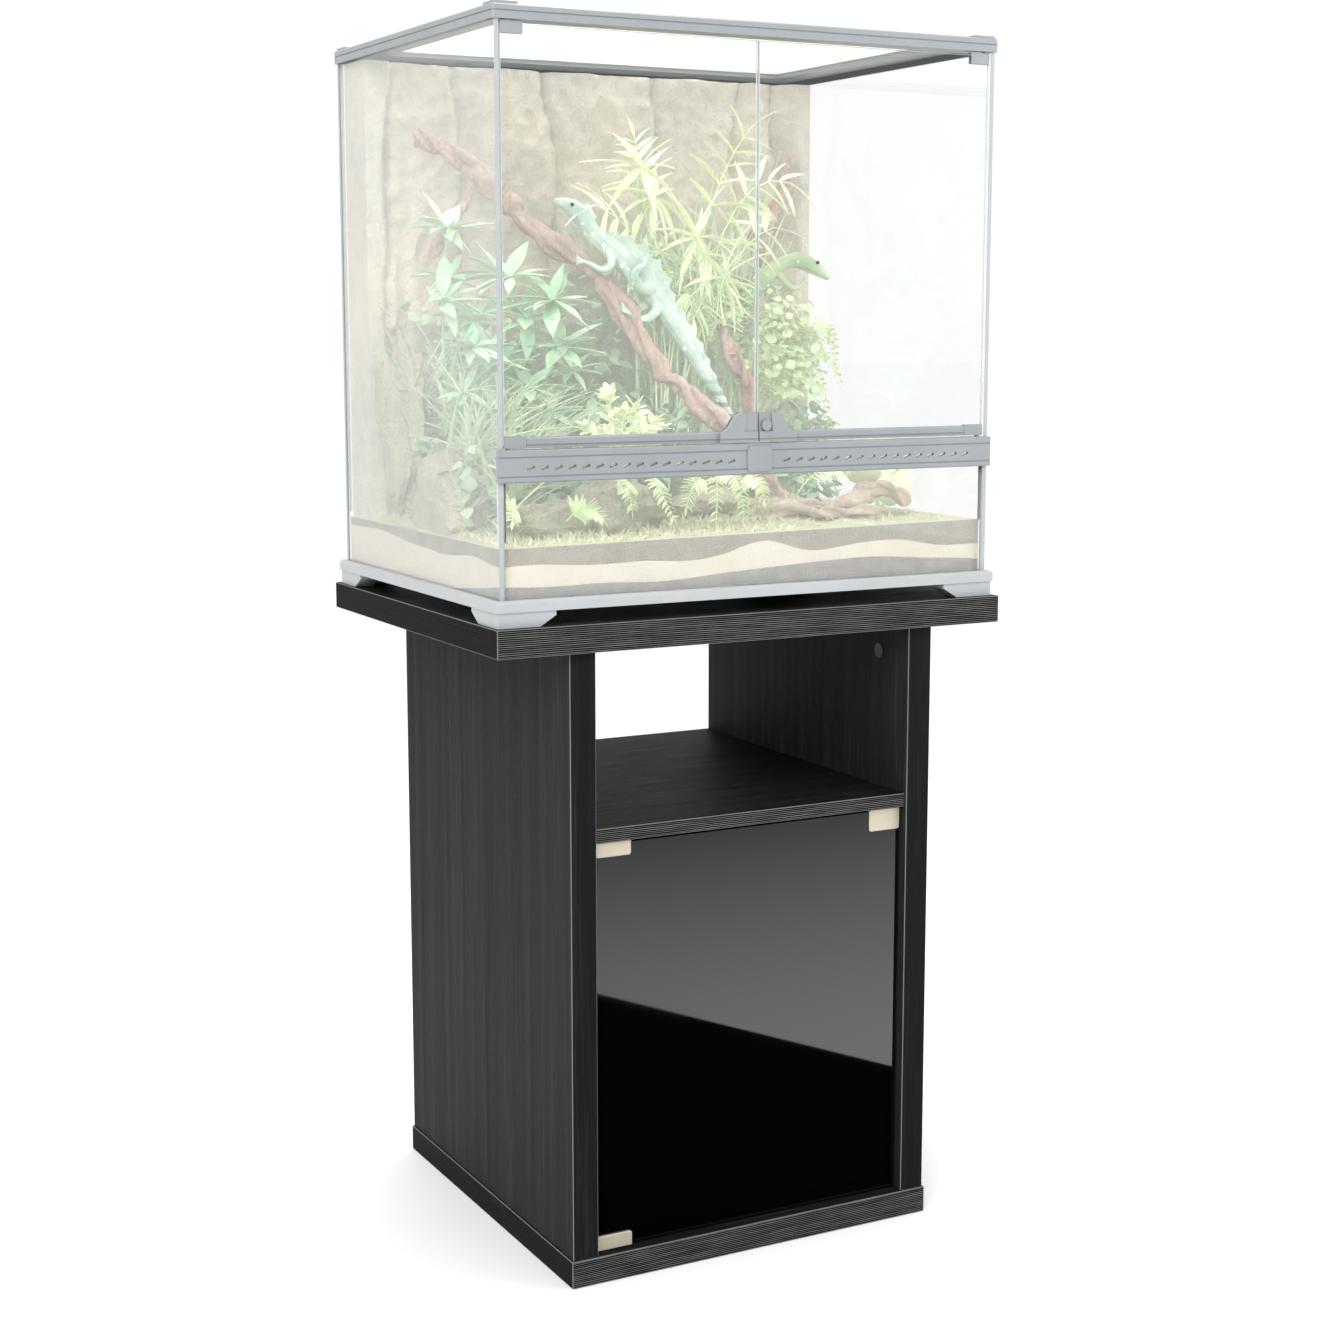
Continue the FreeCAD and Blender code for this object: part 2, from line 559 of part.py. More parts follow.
# ---- terrarium: rail and doors -------------------------------------------------------------------
def vent_slots():
    """Slanted slots in both halves of the rail."""
    slots = []
    mid_z = (RAIL_LOW + RAIL_HIGH) / 2 - 2
    for side in (-1, 1):
        for i in range(SLOTS_PER_HALF):
            x = side * (34.0 + SLOT_PITCH * i)
            slot = block(x - 4.5, x + 4.5, RAIL_FRONT - 1, RAIL_FRONT + RAIL_WALL + 1, mid_z - 1.3, mid_z + 1.3)
            slot.rotate(V(x, 0, mid_z), Y_DIR, -18)
            slots.append(slot)
    return slots


def make_rail():
    """The ventilation rail across the front, its mesh strip and the blank name plate."""
    clear_x = GLASS_X - PANE - SEAL_GAP
    face = block(-GLASS_X - 2, GLASS_X + 2, RAIL_FRONT, -GLASS_Y - 0.2, RAIL_LOW, RAIL_HIGH)
    upright = [e for e in face.Edges if abs(e.CenterOfMass.y - RAIL_FRONT) < 0.01]
    face = face.makeChamfer(1.2, upright)
    channel = block(-clear_x, clear_x, -GLASS_Y - 1, RAIL_BACK, RAIL_LOW, RAIL_HIGH)
    hollow = block(-clear_x + 4, clear_x - 4, RAIL_FRONT + RAIL_WALL, RAIL_BACK + 1,
                   RAIL_LOW + RAIL_WALL, RAIL_HIGH - RAIL_WALL)
    rail = cut_all(face.fuse(channel), [hollow] + vent_slots())
    lock_notch = block(LOCK_X - 5, LOCK_X + 30, DOOR_PLANE + STRIP_T / 2 + 0.1, RAIL_BACK + 1,
                       RAIL_HIGH - RAIL_WALL, RAIL_HIGH)
    rail = rail.cut(lock_notch)
    for side in (-1, 1):
        pin = rod(DOOR_PIN_R + FIT, (side * DOOR_PIVOT_X, DOOR_PLANE, RAIL_HIGH - RAIL_WALL),
                  (side * DOOR_PIVOT_X, DOOR_PLANE, RAIL_HIGH))
        rail = rail.cut(pin)
    save("vent_rail", rail)
    strip = block(-clear_x + 6, clear_x - 6, RAIL_FRONT + RAIL_WALL, RAIL_FRONT + RAIL_WALL + 0.6,
                  RAIL_LOW + RAIL_WALL, RAIL_HIGH - RAIL_WALL)
    save("vent_mesh", strip)
    plate = block(-15, 15, RAIL_FRONT - 1.5, RAIL_FRONT, RAIL_LOW + 3, RAIL_HIGH - 3)
    corners = [e for e in plate.Edges if abs(e.tangentAt(e.FirstParameter).y) > 0.9]
    plate = plate.makeFillet(5.0, corners)
    save("name_plate_blank", plate)


def hump_half():
    """Right half of the grip hump: an S-curved shoulder rising to a flat top."""
    base_z = DOOR_LOW
    low_z, high_z = DOOR_LOW + STRIP_H, DOOR_LOW + STRIP_H + HUMP_H
    x0 = DOOR_MIDDLE_GAP
    mid_x, mid_z = (HUMP_HALF + HUMP_FLAT) / 2, (low_z + high_z) / 2
    shoulder = Part.BSplineCurve()
    shoulder.interpolate([V(HUMP_FLAT, HUMP_FRONT, high_z), V(mid_x, HUMP_FRONT, mid_z),
                          V(HUMP_HALF, HUMP_FRONT, low_z)],
                         InitialTangent=V(10, 0, 0), FinalTangent=V(10, 0, 0))
    corners = [V(HUMP_HALF, HUMP_FRONT, low_z), V(HUMP_HALF, HUMP_FRONT, base_z), V(x0, HUMP_FRONT, base_z),
               V(x0, HUMP_FRONT, high_z), V(HUMP_FLAT, HUMP_FRONT, high_z)]
    edges = [shoulder.toShape()]
    for start, end in zip(corners[:-1], corners[1:]):
        edges.append(Part.makeLine(start, end))
    back = DOOR_PLANE + STRIP_T / 2
    solid = Part.Face(Part.Wire(edges)).extrude(V(0, back - HUMP_FRONT, 0))
    grip = prism([(x0 - 1, HUMP_FRONT - 1, low_z), (GRIP_LOW_X, HUMP_FRONT - 1, low_z),
                  (GRIP_HIGH_X, HUMP_FRONT - 1, high_z + 1), (x0 - 1, HUMP_FRONT - 1, high_z + 1)],
                 (0, 1 + GRIP_DEPTH, 0))
    return solid.cut(grip)


def right_door_pane():
    """The right door's glass with its lower inner corner cut away behind the grip."""
    low = DOOR_LOW + 2.5
    pane = block(DOOR_MIDDLE_GAP + 0.4, DOOR_PIVOT_X + 5, DOOR_PLANE - DOOR_PANE / 2,
                 DOOR_PLANE + DOOR_PANE / 2, low, DOOR_TOP - 2.5)
    notch = block(0, 27, DOOR_PLANE - 5, DOOR_PLANE + 5, low - 1, DOOR_LOW + STRIP_H + 17)
    return pane.cut(notch)


def right_door_strip(pane):
    """The right door's bottom rail with half of the grip hump."""
    front, back = DOOR_PLANE - STRIP_T / 2, DOOR_PLANE + STRIP_T / 2
    strip = block(DOOR_MIDDLE_GAP, DOOR_PIVOT_X + 5 - BLOCK_L - 0.3, front, back, DOOR_LOW, DOOR_LOW + STRIP_H)
    top_front = [e for e in strip.Edges if abs(e.CenterOfMass.y - front) < 0.01
                 and abs(e.CenterOfMass.z - DOOR_LOW - STRIP_H) < 0.01]
    strip = strip.makeChamfer(1.5, top_front)
    shaft = rod(2.5 + FIT, (LOCK_X, HUMP_FRONT - 1, LOCK_Z), (LOCK_X, RAIL_BACK, LOCK_Z))
    return strip.fuse(hump_half()).removeSplitter().cut(pane), shaft


def right_door_blocks(pane):
    """Blocks on the glass at the hinge side, each with its pivot pin."""
    blocks = []
    front, back = DOOR_PLANE - STRIP_T / 2, DOOR_PLANE + STRIP_T / 2
    x0, x1 = DOOR_PIVOT_X + 5 - BLOCK_L, DOOR_PIVOT_X + 5
    for low, face, way in ((DOOR_LOW, DOOR_LOW, -1), (DOOR_TOP - BLOCK_H, DOOR_TOP, 1)):
        body = block(x0, x1, front, back, low, low + BLOCK_H).cut(pane)
        end = face + way * DOOR_PIN_L
        body = body.fuse(rod(DOOR_PIN_R, (DOOR_PIVOT_X, DOOR_PLANE, face), (DOOR_PIVOT_X, DOOR_PLANE, end)))
        blocks.append(body)
    return group(blocks)


def make_terrarium_doors():
    """Two doors on pins at their outer edges, and the lock on the right one."""
    pane = right_door_pane()
    strip, shaft_hole = right_door_strip(pane)
    blocks = right_door_blocks(pane)
    save("door_right_glass", pane)
    save("door_right_rail", strip.cut(shaft_hole))
    save("door_right_hinge_blocks", blocks)
    save("door_left_glass", mirrored_x(pane))
    save("door_left_rail", mirrored_x(strip))
    save("door_left_hinge_blocks", mirrored_x(blocks))
    behind = DOOR_PLANE + STRIP_T / 2 + LATCH_GAP
    recess_face = HUMP_FRONT + GRIP_DEPTH
    knob_back = recess_face - LATCH_GAP
    knob = rod(LOCK_R, (LOCK_X, knob_back - 3.5, LOCK_Z), (LOCK_X, knob_back, LOCK_Z))
    grooves = []
    for i in range(12):
        angle = math.radians(30 * i)
        gx = LOCK_X + LOCK_R * math.cos(angle)
        gz = LOCK_Z + LOCK_R * math.sin(angle)
        grooves.append(rod(0.7, (gx, knob_back - 5, gz), (gx, recess_face, gz)))
    knob = cut_all(knob, grooves)
    shaft = rod(2.5, (LOCK_X, knob_back, LOCK_Z), (LOCK_X, behind, LOCK_Z))
    save("door_lock_knob", knob.fuse(shaft))
    tongue = block(LOCK_X - 4, LOCK_X + TONGUE_L, behind, behind + TONGUE_T, LOCK_Z - 3.5, LOCK_Z + 3.5)
    ends = [e for e in tongue.Edges if abs(e.tangentAt(e.FirstParameter).y) > 0.9]
    save("door_lock_tongue", tongue.makeFillet(2.5, ends))


# ---- decor ---------------------------------------------------------------------------------------
def limb(points, radii):
    """A branch of straight round runs with a ball at every joint."""
    solid = Part.makeSphere(radii[0], V(*points[0]))
    for a, b, ra, rb in zip(points[:-1], points[1:], radii[:-1], radii[1:]):
        run = V(*b) - V(*a)
        if abs(ra - rb) < 0.01:
            piece = Part.makeCylinder(ra, run.Length, V(*a), run)
        else:
            piece = Part.makeCone(ra, rb, run.Length, V(*a), run)
        solid = solid.fuse(piece).fuse(Part.makeSphere(rb, V(*b)))
    return solid


def tuft(x, y, low, high, spread):
    """A plant's simple body: a stem that opens into a blunt cone."""
    stem_top = low + (high - low) * 0.35
    stem = rod(spread * 0.2, (x, y, low), (x, y, stem_top + 1))
    crown = Part.makeCone(spread * 0.5, spread, (high - stem_top) * 0.6, V(x, y, stem_top), Z_DIR)
    tip_z = stem_top + (high - stem_top) * 0.6
    tip = Part.makeCone(spread, spread * 0.35, high - tip_z, V(x, y, tip_z), Z_DIR)
    return stem.fuse(crown).fuse(tip)


def make_decor():
    """Rock wall, layered bed, branch, driftwood and plants."""
    rock_front = INNER_BACK - ROCK_T
    x = INNER_X
    low = PANE_Z + PANE
    save("gravel_bed", block(-x, x, INNER_FRONT, INNER_BACK, low, GRAVEL_TOP))
    save("sand_bed", block(-x, x, INNER_FRONT, INNER_BACK, GRAVEL_TOP, SAND_TOP))
    save("soil_bed", block(-x, x, INNER_FRONT, INNER_BACK, SAND_TOP, SOIL_TOP))
    wall = prism([(-x + 5, INNER_BACK - 5, SOIL_TOP), (x - 5, INNER_BACK - 5, SOIL_TOP),
                  (x - 5, rock_front + 16, SOIL_TOP), (x - 70, rock_front + 4, SOIL_TOP),
                  (40, rock_front + 12, SOIL_TOP), (-90, rock_front + 2, SOIL_TOP),
                  (-210, rock_front - 12, SOIL_TOP), (-x + 5, rock_front - 26, SOIL_TOP)],
                 (0, 0, DOOR_TOP - 6 - SOIL_TOP))
    save("rock_background", wall)
    save("branch", limb([(-235, 138, 1235), (-177, 100, 1198), (-141, 76, 1164), (-91, 68, 1121),
                         (-50, 40, 1078), (-24, 5, 1001), (27, -45, 934), (88, -55, 903),
                         (130, -70, SOIL_TOP + 13)], [9, 11, 12, 13, 14, 14, 13, 12, 12]))
    save("driftwood", limb([(120, -150, SOIL_TOP + 14), (190, -135, SOIL_TOP + 20),
                            (262, -114, SOIL_TOP + 14)], [13, 15, 10]))
    plants = {
        "bamboo_plant": (50.0, 112.0, 1240.0, 60.0),
        "broad_leaf_plant": (-200.0, 62.0, 1130.0, 74.0),
        "grass_plant": (-245.0, -62.0, 1020.0, 42.0),
        "vine_plant": (215.0, 112.0, 1050.0, 60.0),
        "fern_plant": (-100.0, -120.0, 940.0, 44.0),
        "pad_plant": (255.0, -58.0, 900.0, 32.0),
    }
    for name, (px, py, high, spread) in plants.items():
        save(name, tuft(px, py, SOIL_TOP, high, spread))


def main():
    """Build every node."""
    os.makedirs("parts", exist_ok=True)
    make_cabinet_door()
    latch_screws = make_latch()
    make_boards(fitting_holes() + latch_screws)
    make_fittings()
    make_base_frame()
    make_glass()
    make_top_frame()
    make_lid()
    make_rail()
    make_terrarium_doors()
    make_decor()


main()
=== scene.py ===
"""Planted glass terrarium on a black wood-grain cabinet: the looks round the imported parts."""

import functools
import logging
import math
import random
from dataclasses import dataclass, field
from enum import Enum
from typing import Callable, Sequence

import bpy
from mathutils import Matrix, Vector, noise


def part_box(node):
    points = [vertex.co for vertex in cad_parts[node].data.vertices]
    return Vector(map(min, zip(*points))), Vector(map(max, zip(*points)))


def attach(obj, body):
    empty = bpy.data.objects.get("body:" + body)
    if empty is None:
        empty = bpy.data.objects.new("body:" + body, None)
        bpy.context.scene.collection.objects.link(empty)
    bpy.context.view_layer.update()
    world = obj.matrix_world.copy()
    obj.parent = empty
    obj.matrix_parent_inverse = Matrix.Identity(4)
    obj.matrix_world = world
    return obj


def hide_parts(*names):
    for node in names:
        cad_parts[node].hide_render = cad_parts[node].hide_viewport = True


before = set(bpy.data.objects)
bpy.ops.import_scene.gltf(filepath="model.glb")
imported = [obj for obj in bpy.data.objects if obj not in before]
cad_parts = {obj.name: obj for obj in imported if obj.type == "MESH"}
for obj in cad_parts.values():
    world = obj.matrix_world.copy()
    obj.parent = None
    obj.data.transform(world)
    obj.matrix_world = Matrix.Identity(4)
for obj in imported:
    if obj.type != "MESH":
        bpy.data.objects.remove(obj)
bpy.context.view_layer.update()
LOG = logging.getLogger("terrarium")
MM = 0.001
Colour = tuple[float, float, float]
Point = tuple[float, float, float]


# ---- the bench: modelling by hand -----------------------------------------------------------------
class Bench:
    """Modelling operators, with the selection kept in order."""

    @staticmethod
    def take(*pieces: bpy.types.Object) -> None:
        """Select only these pieces; the first is the active one.

        Args:
            pieces: what is selected.
        """
        if bpy.context.object and bpy.context.object.mode != "OBJECT":
            bpy.ops.object.mode_set(mode="OBJECT")
        bpy.ops.object.select_all(action="DESELECT")
        for piece in pieces:
            piece.select_set(True)
        if pieces:
            bpy.context.view_layer.objects.active = pieces[0]

    @staticmethod
    def pick(piece: bpy.types.Object, test: Callable[[Vector], bool]) -> None:
        """Go into edit mode with the vertices selected whose place passes a test.

        Args:
            piece: the mesh to edit.
            test: says of a vertex's place whether it is selected.
        """
        Bench.take(piece)
        mesh = piece.data
        bpy.ops.object.mode_set(mode="EDIT")
        bpy.ops.mesh.select_mode(type="VERT")
        bpy.ops.mesh.select_all(action="DESELECT")
        bpy.ops.object.mode_set(mode="OBJECT")
        for vertex in mesh.vertices:
            vertex.select = test(vertex.co)
        bpy.ops.object.mode_set(mode="EDIT")

    @staticmethod
    def done() -> None:
        """Leave edit mode."""
        bpy.ops.object.mode_set(mode="OBJECT")

    @staticmethod
    def settle(piece: bpy.types.Object) -> None:
        """Apply every modifier and the object's own place to the mesh.

        Args:
            piece: the piece to settle.
        """
        Bench.take(piece)
        for modifier in list(piece.modifiers):
            bpy.ops.object.modifier_apply(modifier=modifier.name)
        bpy.ops.object.transform_apply(location=True, rotation=True, scale=True)

    @staticmethod
    def outward(piece: bpy.types.Object) -> None:
        """Merge doubles and point every face outwards.

        Args:
            piece: the mesh to clean.
        """
        Bench.pick(piece, lambda place: True)
        bpy.ops.mesh.remove_doubles(threshold=0.00002)
        bpy.ops.mesh.normals_make_consistent(inside=False)
        Bench.done()

    @staticmethod
    def copy(piece: bpy.types.Object, place: Matrix) -> bpy.types.Object:
        """A copy with its own mesh, put in place.

        Args:
            piece: the piece that repeats.
            place: where the copy goes.

        Returns:
            The new object.
        """
        mesh = piece.data.copy()
        mesh.transform(place)
        made = bpy.data.objects.new(piece.name, mesh)
        bpy.context.scene.collection.objects.link(made)
        return made

    @staticmethod
    def join(pieces: Sequence[bpy.types.Object], name: str) -> bpy.types.Object:
        """One object of several.

        Args:
            pieces: what is joined; they are used up.
            name: the joined piece's name.

        Returns:
            The joined object.
        """
        Bench.take(*pieces)
        if len(pieces) > 1:
            bpy.ops.object.join()
        made = bpy.context.view_layer.objects.active
        made.name = name
        made.data.name = name
        return made

    @staticmethod
    def bridge(sheets: Sequence[bpy.types.Object], name: str) -> bpy.types.Object:
        """Close two sheets along their borders into one solid.

        Args:
            sheets: the two sheets; they are used up.
            name: the solid's name.

        Returns:
            The closed solid.
        """
        solid = Bench.join(sheets, name)
        Bench.take(solid)
        bpy.ops.object.mode_set(mode="EDIT")
        bpy.ops.mesh.select_mode(type="EDGE")
        bpy.ops.mesh.select_all(action="DESELECT")
        bpy.ops.mesh.select_non_manifold()
        bpy.ops.mesh.bridge_edge_loops()
        bpy.ops.mesh.select_all(action="SELECT")
        bpy.ops.mesh.normals_make_consistent(inside=False)
        Bench.done()
        smooth(solid, 60.0)
        return solid

    @staticmethod
    def discard(*pieces: bpy.types.Object) -> None:
        """Remove patterns that were only copied from."""
        for piece in pieces:
            bpy.data.objects.remove(piece)

    @staticmethod
    def limbs(lines: Sequence[tuple[Sequence[Point], Sequence[float]]], sides: int = 2,
              steps: int = 6) -> bpy.types.Object:
        """Round, tapering, capped tubes along smooth lines, in one piece.

        Args:
            lines: each tube's control points and its radius at each, in millimetres.
            sides: bevel resolution; a tube has about four faces for each.
            steps: rings between two points.

        Returns:
            The tubes as one mesh object.
        """
        curve = bpy.data.curves.new("limbs", "CURVE")
        curve.dimensions = "3D"
        curve.bevel_depth = MM
        curve.bevel_resolution = sides
        curve.use_fill_caps = True
        for points, radii in lines:
            line = curve.splines.new("NURBS")
            line.points.add(len(points) - 1)
            for knot, place, radius in zip(line.points, points, radii):
                knot.co = (place[0] * MM, place[1] * MM, place[2] * MM, 1.0)
                knot.radius = radius
            line.order_u = 3
            line.use_endpoint_u = True
            line.resolution_u = steps
        made = bpy.data.objects.new("limbs", curve)
        bpy.context.scene.collection.objects.link(made)
        Bench.take(made)
        bpy.ops.object.convert(target="MESH")
        made = bpy.context.view_layer.objects.active
        Bench.outward(made)
        return made


def modifier(piece: bpy.types.Object, kind: str, **settings: object) -> bpy.types.Modifier:
    """Add a modifier with its settings.

    Args:
        piece: what it goes on.
        kind: the modifier's type.
        settings: its properties.

    Returns:
        The modifier.
    """
    made = piece.modifiers.new(kind.lower(), kind)
    for key, value in settings.items():
        setattr(made, key, value)
    return made


def smooth(piece: bpy.types.Object, degrees: float = 40.0) -> None:
    """Shade smooth where faces meet at less than an angle."""
    Bench.take(piece)
    bpy.ops.object.shade_smooth_by_angle(angle=math.radians(degrees))


# ---- shader building ------------------------------------------------------------------------------
BLACK, WHITE, EVEN = (0.0, 0.0, 0.0), (1.0, 1.0, 1.0), (1.0, 1.0, 1.0)
# colour of a faint painted glow on rock, wood, leaves and skin that lifts their shade; none of them is a lamp
PAINTED_GLOW = (0.94, 0.98, 1.0, 1.0)
CREASE = 0.7
ARRIS = 0.97


def opaque(colour: object) -> object:
    """A plain colour with full alpha; a socket stays as it is."""
    return (*colour, 1.0) if isinstance(colour, tuple) else colour


def shaded(colour: Colour, share: float) -> Colour:
    """A colour at a share of its brightness."""
    return tuple(channel * share for channel in colour)


class Nodes:
    """A node tree under construction, with short calls to add and wire nodes."""

    def __init__(self, tree: bpy.types.NodeTree) -> None:
        """Work on a tree."""
        self.tree = tree

    def wire(self, source: bpy.types.NodeSocket, target: bpy.types.NodeSocket) -> None:
        """Link two sockets."""
        self.tree.links.new(source, target)

    def add(self, kind: str, wires: dict[str, object] | None = None,
            **settings: object) -> bpy.types.ShaderNode:
        """A node with its properties, and its inputs wired or set.

        Args:
            kind: the node's type.
            wires: a socket or a plain value for inputs, by name or number.
            settings: the node's own properties.

        Returns:
            The node.
        """
        node = self.tree.nodes.new("ShaderNode" + kind)
        for key, value in settings.items():
            setattr(node, key, value)
        for key, source in (wires or {}).items():
            target = node.inputs[int(key)] if key.isdigit() else node.inputs[key]
            if isinstance(source, bpy.types.NodeSocket):
                self.wire(source, target)
            else:
                target.default_value = source
        return node

    def math(self, operation: str, *values: object, **settings: object) -> bpy.types.NodeSocket:
        """The result of an operation on sockets or numbers."""
        wires = {str(index): value for index, value in enumerate(values)}
        return self.add("Math", wires, operation=operation, **settings).outputs[0]

    def blend(self, share: bpy.types.NodeSocket, first: object, second: object) -> bpy.types.NodeSocket:
        """Two colours mixed by a share."""
        wires = {"0": share, "6": opaque(first), "7": opaque(second)}
        return self.add("Mix", wires, data_type="RGBA").outputs[2]

    def ramp(self, value: bpy.types.NodeSocket, low: float, high: float) -> bpy.types.NodeSocket:
        """A value stretched so that it is nought at one level and one at another."""
        return self.add("MapRange", {"Value": value, "From Min": low, "From Max": high}).outputs["Result"]

    def split(self, vector: bpy.types.NodeSocket) -> bpy.types.NodeOutputs:
        """The X, Y and Z of a vector."""
        return self.add("SeparateXYZ", {"0": vector}).outputs


class Shader(Nodes):
    """A material's node tree round a Principled surface."""

    def __init__(self, name: str) -> None:
        """Start a material.

        Args:
            name: the material's name.
        """
        self.material = bpy.data.materials.new(name)
        self.material.use_nodes = True
        super().__init__(self.material.node_tree)
        self.surface = self.tree.nodes["Principled BSDF"]
        coordinates = self.add("TexCoord").outputs
        self.place, self.facing = coordinates["Object"], coordinates["Normal"]

    def effect(self, group: bpy.types.NodeTree, **values: object) -> bpy.types.ShaderNode:
        """A shared effect, fed with the object's coordinates and its own values."""
        wires = {key.replace("_", " "): value for key, value in values.items()}
        return self.add("Group", {"Vector": self.place, **wires}, node_tree=group)

    def clouded(self, scale: float, contrast: float, first: Colour = BLACK, second: Colour = WHITE,
                stretch: Point = EVEN) -> bpy.types.ShaderNode:
        """The mottle effect with its values."""
        return self.effect(mottle(), Stretch=stretch, Scale=scale, Contrast=contrast, First=opaque(first),
                           Second=opaque(second))

    def put(self, **values: object) -> None:
        """Set plain values on the surface's own sockets."""
        for key, value in values.items():
            self.surface.inputs[key.replace("_", " ")].default_value = value

    def fed(self, target: str) -> bpy.types.NodeSocket:
        """What one of the surface's sockets is fed with so far."""
        return self.surface.inputs[target].links[0].from_socket

    def tint(self, source: bpy.types.NodeSocket) -> None:
        """Feed the surface's colour."""
        self.wire(source, self.surface.inputs["Base Color"])

    def relief(self, height: bpy.types.NodeSocket, depth: float, strength: float = 1.0) -> None:
        """Feed the surface's normal from a height with a depth in millimetres."""
        bump = self.add("Bump", {"Distance": depth * MM, "Strength": strength, "Height": height})
        self.wire(bump.outputs["Normal"], self.surface.inputs["Normal"])

    def spread(self, mask: bpy.types.NodeSocket, target: str, low: float, high: float) -> None:
        """Let a mask move one of the surface's values between two limits."""
        ranged = self.add("MapRange", {"Value": mask, "To Min": low, "To Max": high})
        self.wire(ranged.outputs["Result"], self.surface.inputs[target])


class GroupTree(Nodes):
    """A shared node group under construction."""

    KINDS = {"vector": "NodeSocketVector", "float": "NodeSocketFloat", "colour": "NodeSocketColor"}

    def __init__(self, name: str, inputs: Sequence[tuple[str, str]],
                 outputs: Sequence[tuple[str, str]]) -> None:
        """Start a group with named sockets.

        Args:
            name: the group's name.
            inputs: name and kind of each input.
            outputs: name and kind of each output.
        """
        super().__init__(bpy.data.node_groups.new(name, "ShaderNodeTree"))
        for way, sockets in (("INPUT", inputs), ("OUTPUT", outputs)):
            for title, kind in sockets:
                self.tree.interface.new_socket(name=title, in_out=way, socket_type=self.KINDS[kind])
        self.given = self.tree.nodes.new("NodeGroupInput").outputs
        self.result = self.tree.nodes.new("NodeGroupOutput").inputs

    def noise(self, vector: bpy.types.NodeSocket, **values: object) -> bpy.types.NodeSocket:
        """The value of a cloud of noise."""
        return self.add("TexNoise", {"Vector": vector, **values}).outputs[0]

    def out(self, title: str, source: bpy.types.NodeSocket) -> None:
        """Feed one of the group's outputs."""
        self.wire(source, self.result[title])


@functools.cache
def mottle() -> bpy.types.NodeTree:
    """Two colours mixed by a stretched cloud, for anything with an uneven tone.

    Returns:
        The node group.
    """
    group = GroupTree("mottle", [("Vector", "vector"), ("Stretch", "vector"), ("Scale", "float"),
                                 ("Contrast", "float"), ("First", "colour"), ("Second", "colour")],
                      [("Colour", "colour"), ("Mask", "float")])
    given = group.given
    mapped = group.add("Mapping", {"Vector": given["Vector"], "Scale": given["Stretch"]}).outputs[0]
    cloud = group.noise(mapped, Scale=given["Scale"], Detail=6.0, Roughness=0.62)
    gained = group.math("MULTIPLY", group.math("SUBTRACT", cloud, 0.5), given["Contrast"])
    mask = group.math("ADD", gained, 0.5, use_clamp=True)
    group.out("Colour", group.blend(mask, given["First"], given["Second"]))
    group.out("Mask", mask)
    return group.tree


@functools.cache
def wood_figure() -> bpy.types.NodeTree:
    """Long fibres with pores and a slow change of tone.

    Returns:
        The node group.
    """
    group = GroupTree("wood_figure", [("Vector", "vector"), ("Stretch", "vector"), ("Pores", "float")],
                      [("Mask", "float"), ("Height", "float")])
    given = group.given
    mapped = group.add("Mapping", {"Vector": given["Vector"], "Scale": given["Stretch"]}).outputs[0]
    pore = group.ramp(group.noise(mapped, Scale=1.0, Detail=8.0, Roughness=0.75), 0.46, 0.62)
    slow = group.ramp(group.noise(mapped, Scale=0.11, Detail=2.0), 0.35, 0.65)
    group.out("Mask", group.math("MULTIPLY", group.math("MULTIPLY", pore, given["Pores"]), slow))
    group.out("Height", pore)
    return group.tree


@functools.cache
def dust() -> bpy.types.NodeTree:
    """A thin uneven film and fine scratches: a mask for roughness and tone.

    Returns:
        The node group.
    """
    group = GroupTree("dust", [("Vector", "vector"), ("Scale", "float")],
                      [("Mask", "float"), ("Height", "float")])
    place, scale = group.given["Vector"], group.given["Scale"]
    group.out("Mask", group.noise(place, Scale=scale, Detail=4.0))
    group.out("Height", group.noise(place, Scale=group.math("MULTIPLY", scale, 60.0), Detail=2.0))
    return group.tree


class Finish:
    """A finish that builds its material once."""

    @functools.cached_property
    def material(self) -> bpy.types.Material:
        """The finish's material."""
        return self.shade().material

    def shade(self) -> Shader:
        """Make the material."""
        raise NotImplementedError

    def dress(self, piece: bpy.types.Object) -> None:
        """Give a piece this finish all over."""
        piece.data.materials.clear()
        piece.data.materials.append(self.material)


class Grain(Enum):
    """Which way the wood grain of a board runs."""

    ACROSS = "across"
    UPRIGHT = "upright"


